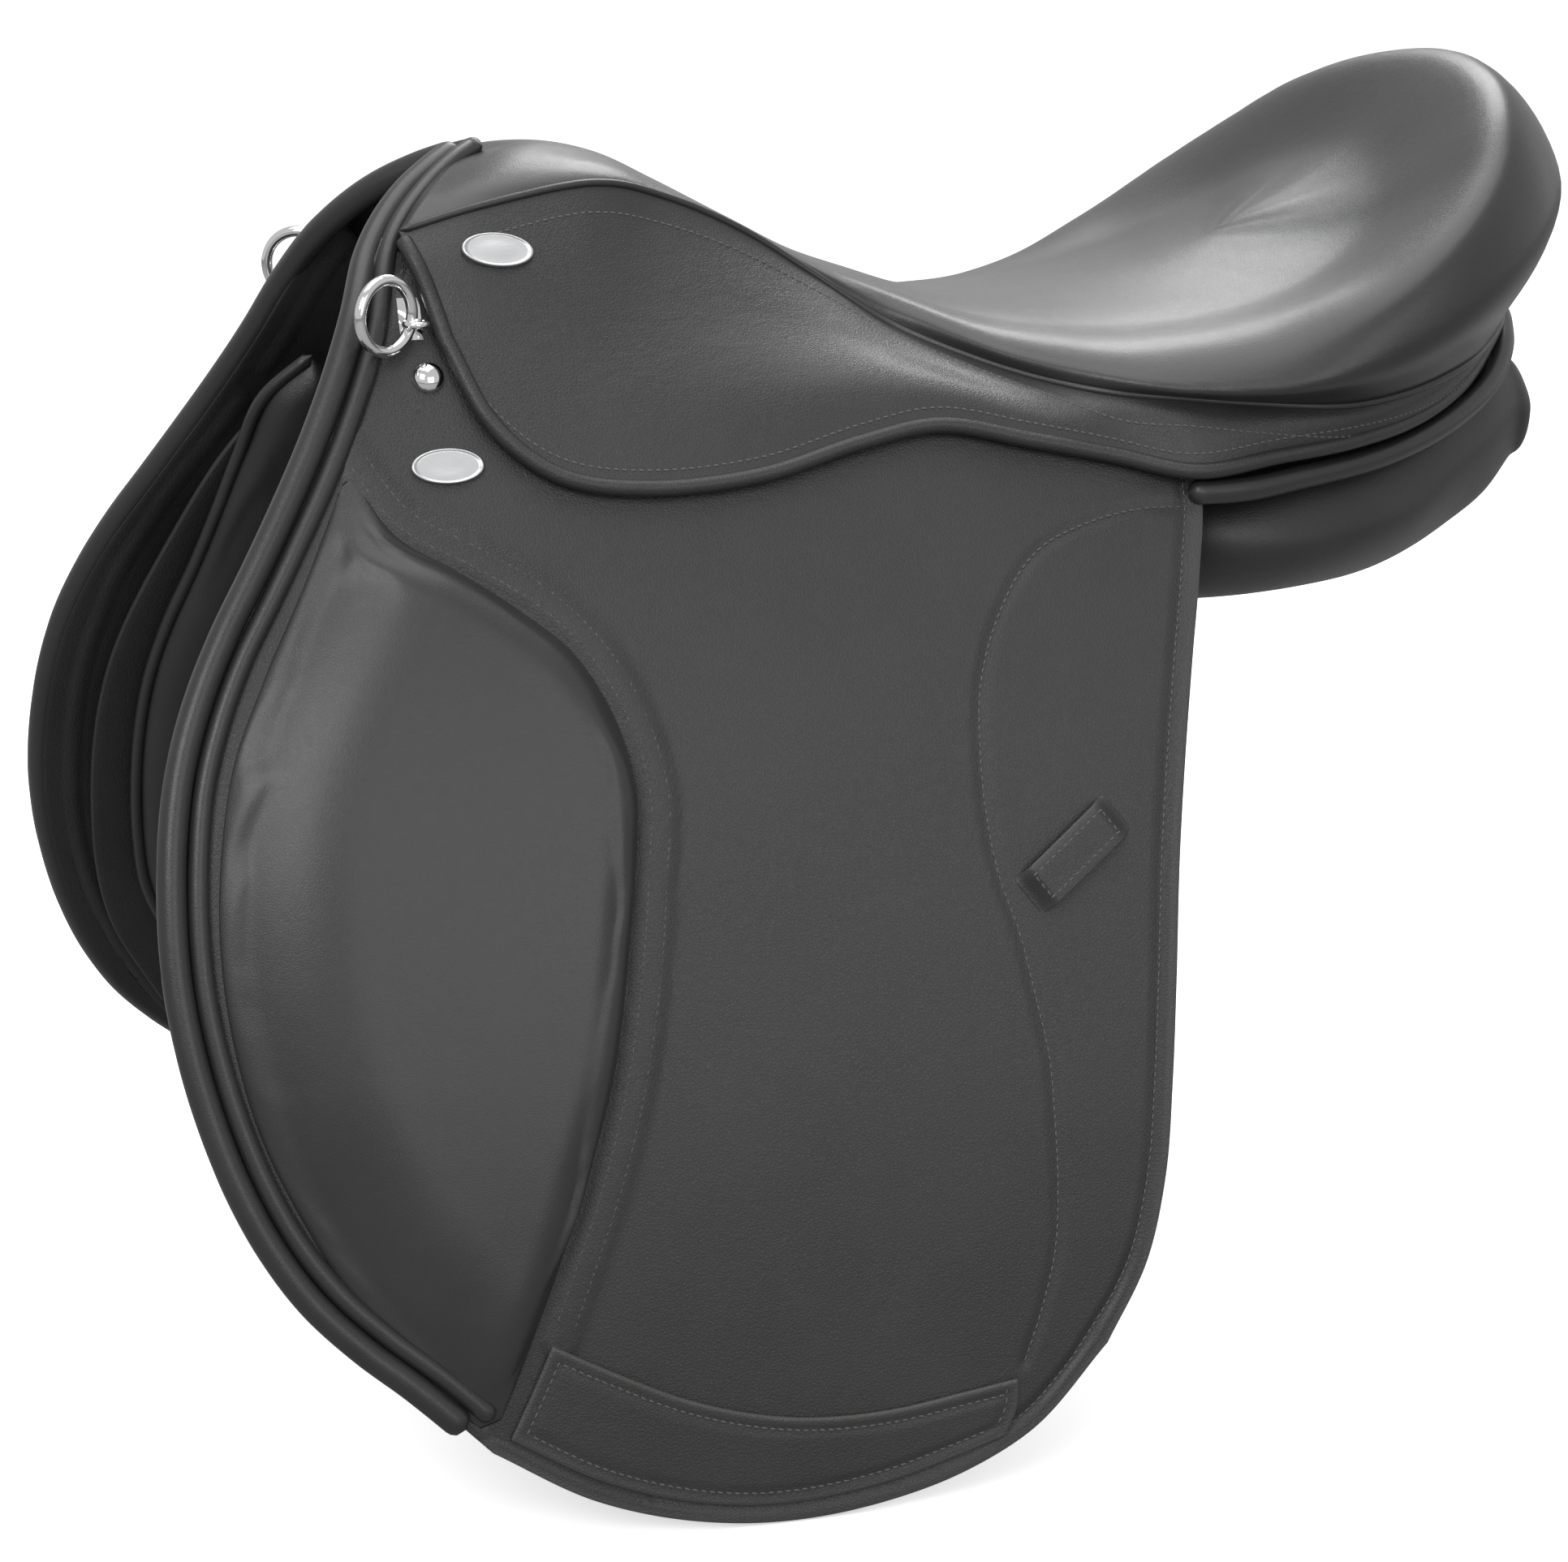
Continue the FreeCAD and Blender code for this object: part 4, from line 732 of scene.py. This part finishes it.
def puff(piece, pressure, cap, free):
    """Fills a closed piece: a cloth run under pressure with no weight, each point held within cap, and one
    subdivision. free gives, from the points, how much of that move each point makes."""
    scene = bpy.context.scene
    start = np.empty(len(piece.data.vertices) * 3)
    piece.data.vertices.foreach_get("co", start)
    start = start.reshape(-1, 3)
    cloth = piece.modifiers.new("cloth", "CLOTH")
    cloth.settings.quality = 5
    cloth.settings.mass = 0.3
    cloth.settings.use_pressure = True
    cloth.settings.uniform_pressure_force = pressure
    cloth.settings.effector_weights.gravity = 0
    for number in range(1, 21):
        scene.frame_set(number)
    shaped = piece.evaluated_get(bpy.context.evaluated_depsgraph_get()).data
    moved = np.empty(len(shaped.vertices) * 3)
    shaped.vertices.foreach_get("co", moved)
    move = moved.reshape(-1, 3) - start
    far = np.linalg.norm(move, axis=1)[:, None]
    move *= np.minimum(1, cap * MM / np.maximum(far, 1e-9))
    move *= free(start / MM)[:, None]
    piece.modifiers.clear()
    piece.data.vertices.foreach_set("co", (start + move).ravel())
    scene.frame_set(1)
    piece.data.shade_smooth()
    rounder = piece.modifiers.new("rounder", "SUBSURF")
    rounder.levels = 1
    rounder.render_levels = 1
    return piece


def height_over(points):
    """Height of points of either side over the drum's face."""
    near = points * np.where(points[:, 1:2] > 0, (1, -1, 1), (1, 1, 1))
    away = near - AXIS
    return np.hypot(away @ OUTWARD, away[:, 2]) - CURVE


KNEE_FRONT = through([
    (-193, 60), (-210, 30), (-230, -3), (-243, -28), (-250, -53), (-254, -79), (-254, -110), (-248, -145), (-235, -178),
    (-216, -212), (-195, -238), (-181, -252),
], 90)
KNEE_BACK = through([
    (-190, 63), (-179, 43), (-157, 29), (-137, 15), (-122, 2), (-113, -13), (-108, -27), (-106, -44), (-109, -66),
    (-116, -100), (-125, -137), (-137, -168), (-150, -199), (-163, -226), (-175, -250),
], 90)
KNEE_RISE = 13.5
knee_leather = leather("knee_calf", grey(0.023), 0.37, grain=0.4, cell=0.9, coat=0.18)
share = ((1 - np.cos(np.linspace(0, np.pi, 44))) / 2)[None, :, None]
KNEE_FLAT = KNEE_FRONT[:, None] * (1 - share) + KNEE_BACK[:, None] * share
from_front = distance(KNEE_FLAT, KNEE_FRONT)
from_back = distance(KNEE_FLAT, KNEE_BACK)
KNEE_HEIGHT = (
    0.7
    + KNEE_RISE
    * np.sin(np.clip(from_front / 46, 0, 1) * np.pi / 2) ** 0.85
    * np.sqrt(1 - (1 - np.clip(from_back / 15, 0, 1)) ** 2) ** 0.9
    * np.sqrt(np.clip(np.minimum(np.arange(90), 89 - np.arange(90)) / 4, 0, 1))[:, None]
)
for name, side in SIDES:
    knee = pad("knee_block_" + name, KNEE_FLAT, KNEE_HEIGHT, np.full(KNEE_HEIGHT.shape, 0.7), side)
    puff(knee, 4.0, 2.0, lambda points: np.clip((height_over(points) - 1.5) / 4, 0, 1))
    ready(knee, knee_leather, None, "knee_leather", f"knee_block_{name}")
    flap_blend(knee, side)


# --- Bottom patch and keeper --------------------------------------------------------------------------------------
# The patch is a second layer of the flap hide, stitched all round, where the leg rubs. The keeper is a short strap
# over two raised ends, through which the loose end of the stirrup leather is put.

PATCH_TOP = through([(-155, -225), (-133, -237), (-108, -249), (-71, -259), (-35, -260), (-11, -257), (11, -254)], 90)
PATCH_LOW = through([(-172, -256), (-141, -274), (-90, -288.5), (-40, -286), (-12, -279), (5, -274)], 90)
PATCH_LEFT = through([(-155, -225), (-163, -240), (-172, -256)], 20)
PATCH_RIGHT = through([(11, -254), (10, -264), (5, -274)], 20)
PATCH_FLAT = coons(PATCH_TOP, PATCH_LOW, PATCH_LEFT, PATCH_RIGHT)
patch_round = np.vstack([PATCH_TOP, PATCH_RIGHT, PATCH_LOW[::-1], PATCH_LEFT[::-1]])
KEEPER_AT = np.array([49.0, -76.0])
KEEPER_LONG, KEEPER_WIDE, KEEPER_TURN = 46.0, 16.0, math.radians(36)
keeper_way = np.array([math.cos(KEEPER_TURN), math.sin(KEEPER_TURN)])
keeper_across = np.array([-keeper_way[1], keeper_way[0]])
a = np.linspace(-0.5, 0.5, 61)[None, :, None]
b = np.linspace(0.5, -0.5, 21)[:, None, None]
pinch = 1 - 0.12 * np.clip(np.abs(a) * 2 - 0.75, 0, 1) ** 2 * 16 * 0.5
KEEPER_FLAT = KEEPER_AT + keeper_way * a * KEEPER_LONG + keeper_across * b * KEEPER_WIDE * pinch
rise = fall(np.abs(a[..., 0]) * KEEPER_LONG, 15.5, 22.5) * 4.4 + 0.9
KEEPER_GRID = lay(KEEPER_FLAT, rise - 0.5 * (2 * b[..., 0]) ** 6)
for name, side in SIDES:
    edge = distance(PATCH_FLAT, patch_round)
    patch_grid = lay(PATCH_FLAT, 2.5 - 0.5 * fall(np.abs(edge - 4.5), 0.3, 2.2))
    patch = surface("bottom_patch_" + name, mirrored(patch_grid, side), flip=side < 0)
    mark(patch, "worn", fall(edge, 0.3, 3.0))
    thick(patch, 2.2, 0.9)
    ready(patch, flap_leather, f"flap_{name}", "black_leather", f"bottom_patch_{name}")
    keeper = surface("keeper_" + name, mirrored(KEEPER_GRID, side), flip=side < 0)
    mark(keeper, "worn", np.broadcast_to(np.abs(2 * b[..., 0]) ** 4, KEEPER_GRID.shape[:2]))
    thick(keeper, 1.9, 0.6)
    ready(keeper, flap_leather, f"flap_{name}", "black_leather", f"keeper_{name}")
    inside = [
        shifted(PATCH_TOP, -4.5)[3:-3], shifted(PATCH_LOW, 4.5)[3:-3],
        shifted(PATCH_LEFT, 4.5)[2:-2], shifted(PATCH_RIGHT, -4.5)[2:-2],
    ]
    rows = [on_flap(line, 2.1) for line in inside]
    for across in (-0.3, 0.3):
        line = KEEPER_AT + keeper_way * np.linspace(-18, 18, 40)[:, None] + keeper_across * KEEPER_WIDE * across
        rows.append(on_flap(line, 5.1))
    for along in (-17, 17):
        line = KEEPER_AT + keeper_way * along + keeper_across * np.linspace(-4.5, 4.5, 10)[:, None]
        rows.append(on_flap(line, 4.9))
    seams = stitches("patch_stitching_" + name, rows, side, seed=7)
    ready(seams, thread, f"flap_{name}", "black_leather")


# --- Panels, sweat flaps and gullet -------------------------------------------------------------------------------
# Two leather cushions stuffed with wool bear on the back each side of the gullet. Each has a padded flap at the
# front, under the stout sweat flap, and is laced up to the tree under a piped top edge.

def closed(points, count):
    """A closed smooth curve through the points: the same Hermite pieces, with the ends overlapped."""
    ring = np.vstack([points[-3:], points, points[:3]])
    knots = lengths(ring)
    at = np.linspace(knots[3], knots[3 + len(points)], count, endpoint=False)
    return smooth(knots, ring, at)


CHANNEL = 31
CUSHION = [
    (-142, [(CHANNEL, 70), (42, 65), (47, 54), (47, 44), (40, 46), (CHANNEL, 56)]),
    (-100, [(CHANNEL, 62), (46, 57), (53, 42), (62, 16), (42, 26), (CHANNEL, 46)]),
    (-66, [(CHANNEL, 60), (48, 55), (57, 40), (71, 8), (44, 20), (CHANNEL, 42)]),
    (-40, [(CHANNEL, 60), (50, 53), (60, 38), (79, 2), (46, 14), (CHANNEL, 38)]),
    (40, [(CHANNEL, 58), (58, 47), (70, 32), (88, -1), (48, 10), (CHANNEL, 32)]),
    (98, [(CHANNEL, 56), (72, 44), (92, 26), (96, -3), (50, 9), (CHANNEL, 32)]),
    (135, [(CHANNEL, 58), (105, 37), (116, 18), (97, -5), (52, 8), (CHANNEL, 32)]),
    (170, [(CHANNEL, 66), (108, 40), (119, 20), (95, -4), (52, 10), (CHANNEL, 36)]),
    (215, [(CHANNEL, 72), (94, 46), (106, 26), (84, 0), (48, 15), (CHANNEL, 42)]),
    (250, [(CHANNEL, 76), (72, 58), (85, 38), (72, 10), (44, 21), (CHANNEL, 46)]),
    (276, [(CHANNEL, 75), (55, 64), (67, 44), (60, 20), (42, 26), (CHANNEL, 48)]),
    (294, [(CHANNEL, 70), (43, 62), (52, 46), (47, 30), (38, 33), (CHANNEL, 50)]),
]


def cushion_grid():
    """Closed sections of the cushion, joined along the saddle by Hermite curves and drawn in to a round end."""
    stations = np.array([x for x, _ in CUSHION], float)
    rings = np.array([closed(np.array(points, float) * (-1, 1), 60) for _, points in CUSHION])
    at = np.linspace(stations[0], stations[-1], 110)
    body = smooth(stations, rings, at)
    body = np.concatenate([np.repeat(at[:, None, None], 60, axis=1), body], axis=2)
    caps = []
    for end, way in ((body[0], -1), (body[-1], 1)):
        centre = end.mean(0)
        cap = []
        for angle in np.linspace(0.25, np.pi / 2 - 0.04, 7):
            cap.append(centre + (end - centre) * math.cos(angle) + np.array([way * 11 * math.sin(angle), 0, 0]))
        cap.append(np.repeat((centre + np.array([way * 11.0, 0, 0]))[None], 60, axis=0))
        caps.append(np.array(cap))
    return np.concatenate([caps[0][::-1], body, caps[1]])


BINDING_ROUTE = [
    (112, -124, 43), (136, -124.5, 43), (158, -121.5, 45), (198, -112, 49), (240, -91, 57), (272, -65, 67),
    (292, -38, 78), (302, -12, 86), (303, 0, 87),
]
PAD_FRONT = through([
    (-176, 96), (-192, 82), (-200, 60), (-212, 20), (-232, -38), (-237, -98), (-230, -150), (-208, -188),
], 110)
PAD_LOW = through([(-208, -188), (-140, -213), (-60, -219), (0, -206)], 90)
PAD_REAR = through([(66, 20), (64, -30), (50, -100), (34, -160), (0, -206)], 110)
PAD_TOP = through([(-176, 96), (-140, 62), (-90, 36), (-20, 24), (66, 20)], 90)
SWEAT_FRONT = through([(-186, 76), (-200, 60), (-226, 14), (-248, -40), (-254, -100), (-246, -160), (-224, -203)], 90)
SWEAT_LOW = through([(-224, -203), (-150, -232), (-60, -238), (10, -225)], 80)
SWEAT_REAR = through([(96, 60), (96, 34), (84, -20), (66, -100), (50, -170), (10, -225)], 90)
SWEAT_TOP = through([(-186, 76), (-120, 60), (-40, 56), (40, 57), (96, 60)], 80)
SWEAT_AT, PAD_OUT, PAD_IN = -15.8, -19.6, -35.0

panel_leather = leather("panel_hide", grey(0.02), 0.42, grain=0.6, cell=1.0, crease=0.5)
sweat_leather = leather("sweat_hide", grey(0.02), 0.46, grain=1.1, cell=1.3)
lining_leather = leather("lining_hide", grey(0.018), 0.5, grain=0.8)
dress(lining_leather, "gullet_lining")
PAD_FLAT = coons(PAD_TOP, PAD_LOW, PAD_FRONT, PAD_REAR)
pad_round = np.vstack([PAD_FRONT, PAD_LOW, PAD_REAR[::-1], PAD_TOP[::-1]])
pad_edge = distance(PAD_FLAT, pad_round)
pad_swell = np.sqrt(1 - (1 - np.clip(pad_edge / 20, 0, 1)) ** 2)
quilt = fall(np.abs(distance(PAD_FLAT, shifted(PAD_FRONT, 46)[8:-6])), 0.5, 7.0) * 5.0
for name, side in SIDES:
    cushion = weld(surface("panel_cushion_" + name, mirrored(cushion_grid(), side), wrap=True), 0.0001)
    puff(cushion, 3.0, 2.0, lambda points: np.clip((np.abs(points[:, 1]) - 34) / 8, 0, 1))
    ready(cushion, panel_leather, "saddle", "panel_leather", f"panel_cushion_{name}")
    route = through(BINDING_ROUTE, 220)
    binding = tube("panel_binding_" + name, mirrored(route, side), 4.6, sides=16)
    ready(binding, roll_leather, "saddle", "seat_leather", *(("panel_binding",) if side < 0 else ()))
    flap_pad = pad(
        "panel_flap_" + name,
        PAD_FLAT,
        PAD_OUT - 3 * (1 - pad_swell),
        PAD_OUT - 3 + (PAD_IN - PAD_OUT + 3) * pad_swell + quilt * pad_swell,
        side,
    )
    puff(flap_pad, 3.0, 2.0, lambda points: np.clip((-24 - height_over(points)) / 5, 0, 1))
    ready(flap_pad, panel_leather, "saddle", "panel_leather", f"panel_flap_{name}")
    pad_piping = tube(
        "panel_piping_" + name,
        mirrored(lay(through(np.vstack([PAD_FRONT[::9], PAD_LOW[::9], PAD_REAR[::-9]]), 260), PAD_OUT - 4), side),
        2.6, sides=10,
    )
    ready(pad_piping, roll_leather, "saddle", "panel_leather")
    sweat = surface(
        "sweat_flap_" + name,
        mirrored(lay(coons(SWEAT_TOP, SWEAT_LOW, SWEAT_FRONT, SWEAT_REAR), SWEAT_AT), side),
        flip=side < 0,
    )
    thick(sweat, 2.6, 0.8)
    ready(sweat, sweat_leather, "saddle", "panel_leather", f"sweat_flap_{name}")


# --- Billets and buckle guards ------------------------------------------------------------------------------------
# Three punched straps a side hang from a web over the tree; the guard slides on the middle one, to cover the buckles.
# They stay as the frame gives them, in strap leather.

strap_leather = leather("strap_hide", grey(0.02), 0.4, grain=0.7, cell=1.0)
dress(strap_leather, *(f"{node}_{name}" for name, _ in SIDES for node in (
    "billet_front", "billet_middle", "billet_rear", "buckle_guard", "flap_upper",
)))


# --- Front hardware -----------------------------------------------------------------------------------------------
# Chromed steel dee in its staple and a domed nail under it; two plain satin oval plates a side, riveted on.

def turned(name, centre, normal, profile, sides=40):
    """A turned piece: a half profile of radius and height carried round an axis."""
    normal = normal / np.linalg.norm(normal)
    first = np.cross(normal, UP)
    first /= np.linalg.norm(first)
    second = np.cross(normal, first)
    angle = np.linspace(0, 2 * np.pi, sides, endpoint=False)
    profile = np.asarray(profile, float)
    ring = first * np.cos(angle)[:, None] + second * np.sin(angle)[:, None]
    grid = centre + profile[:, :1, None] * ring[None] + (profile[:, 1:, None] * normal)
    return weld(surface(name, grid, wrap=True), 0.00001)


def oval_plate(name, centre, along, normal, long=26.0, short=13.0):
    """An oval plate: superellipse-free rings from the rim's foot over its rounded edge to a slightly sunk face."""
    normal = normal / np.linalg.norm(normal)
    along = along - normal * along.dot(normal)
    along /= np.linalg.norm(along)
    across = np.cross(normal, along)
    angle = np.linspace(0, 2 * np.pi, 72, endpoint=False)
    rings = [(1.0, 0.0), (1.0, 1.1), (0.985, 1.6), (0.95, 1.9), (0.905, 1.85), (0.88, 1.45), (0.82, 1.4), (0.4, 1.62),
             (0.0, 1.7)]
    grid = np.array([
        centre + along * (np.cos(angle) * (long / 2 * r))[:, None]
        + across * (np.sin(angle) * (short / 2 * r))[:, None] + normal * h
        for r, h in rings
    ])
    foot = np.repeat(centre[None], 72, axis=0)[None]
    return weld(surface(name, np.concatenate([foot, grid]), wrap=True), 0.00001)


chrome = metal("bright_chrome", grey(0.82), 0.09, 0.06, 0.03)
satin = metal("satin_plate", grey(0.62, -0.01), 0.34, 0.1, 0.12)
dress(chrome, "dee_staple_left", "dee_staple_right")
EYE = lay(np.array([-161.0, 111.0]), 7.5)
RING = 12.5
WIRE = 2.1
dome = [(0, 0.1), (5.8, 0.1), (5.8, 0.8), (5.5, 1.7), (4.8, 2.7), (3.6, 3.6), (2.2, 4.1), (0.9, 4.3), (0, 4.35)]
for name, side in SIDES:
    flat = np.array([-158.0, 92.0])
    stud = turned("stud_" + name, mirrored(lay(flat, 0.4), side), mirrored(lay_normal(flat), side), dome)
    ready(stud, chrome, "saddle", "chrome_trim", f"stud_{name}")
    way = np.array([-math.cos(math.radians(30)), -math.sin(math.radians(30)), 0.0])
    middle = EYE + way * RING
    angle = np.linspace(0, 2 * np.pi, 73)[:-1]
    turn = np.linspace(0, 2 * np.pi, 17)[:-1]
    ring_line = np.cos(angle)[:, None] * way + np.sin(angle)[:, None] * UP
    thickness = (WIRE * np.sin(turn))[:, None] * np.cross(UP, way)
    grid = middle + ring_line[:, None] * (RING + WIRE * np.cos(turn))[:, None] + thickness
    ring = weld(surface("dee_ring_" + name, mirrored(np.concatenate([grid, grid[:1]]), side), wrap=True), 0.00001)
    ready(ring, chrome, f"dee_ring_{name}", "chrome_trim", f"dee_ring_{name}")
    flat = np.array([-156.0, 63.0])
    low_plate = oval_plate(
        "lower_plate_" + name, mirrored(lay(flat, 0.6), side), mirrored(ALONG, side), mirrored(lay_normal(flat), side)
    )
    ready(low_plate, satin, "saddle", "plate_metal", f"oval_plates_{name}")
    spot = SKIRT[14, 12]
    facing = grid_normals(SKIRT)[14, 12]
    high_plate = oval_plate(
        "upper_plate_" + name, mirrored(spot, side), mirrored(np.array([1.0, -0.18, -0.05]), side), mirrored(facing, side)
    )
    ready(high_plate, satin, "saddle", "plate_metal")


# --- Floor, light and camera --------------------------------------------------------------------------------------
# A pale floor under the saddle, soft studio light from above, and the camera in front of the near side.

floor_low = cad_box[0][2] if not hasattr(cad_box[0], "z") else cad_box[0].z
floor = surface("floor", np.array([[(-6000, -6000, floor_low / MM), (6000, -6000, floor_low / MM)],
                                   [(-6000, 6000, floor_low / MM), (6000, 6000, floor_low / MM)]], float), flip=False)
pale, start, shader = finish("pale_floor", roughness=0.9, emission_strength=0.5)
seen = start.node("LightPath")
start.feed(shader.inputs["Base Color"], seen * 0.64 + 0.3)
start.feed(shader.inputs["Emission Color"], seen)
floor.data.materials.append(pale)

world = bpy.data.worlds.new("studio")
world.use_nodes = True
sky = Signal(world.node_tree)
dim = sky.node("Background", {}, {"Color": (1, 1, 1, 1), "Strength": 0.62})
white = sky.node("Background", {}, {"Color": (1, 1, 1, 1), "Strength": 1.0})
shown = sky.node("MixShader", {}, {0: sky.node("LightPath"), 1: dim, 2: white})
sky.feed(world.node_tree.nodes["World Output"].inputs["Surface"], shown)
bpy.context.scene.world = world
bpy.context.scene.view_settings.view_transform = "Standard"


def softbox(name, place, aim, size, power):
    """A square light of a given size in metres, facing a point."""
    light = bpy.data.lights.new(name, "AREA")
    light.size = size
    light.energy = power
    lamp = bpy.data.objects.new(name, light)
    lamp.location = place
    way = np.array(aim) - np.array(place)
    lamp.rotation_euler = Vector(way).to_track_quat("-Z", "Y").to_euler()
    bpy.context.scene.collection.objects.link(lamp)


softbox("key_light", (-1.6, -1.8, 1.6), (-0.1, 0, 0), 1.2, 26)
softbox("fill_light", (0.3, -2.6, 0.9), (0, -0.1, 0.05), 1.4, 12)
softbox("rim_light", (0.9, 1.6, 1.7), (0.15, 0, 0.1), 1.0, 20)
softbox("top_light", (-0.1, 0.1, 2.4), (0, 0, 0), 2.2, 38)

AZIMUTH, ELEVATION, AWAY, LENS = math.radians(-20), math.radians(16), 1.465, 85.0
target = np.array([0.0, 0.0, -0.089])
back = np.array([
    math.sin(AZIMUTH) * math.cos(ELEVATION), -math.cos(AZIMUTH) * math.cos(ELEVATION), math.sin(ELEVATION),
])
lens = bpy.data.cameras.new("camera")
lens.lens = LENS
lens.sensor_width = 36
camera = bpy.data.objects.new("camera", lens)
camera.location = target + back * AWAY
camera.rotation_euler = Vector(-back).to_track_quat("-Z", "Y").to_euler()
bpy.context.scene.collection.objects.link(camera)
bpy.context.scene.camera = camera
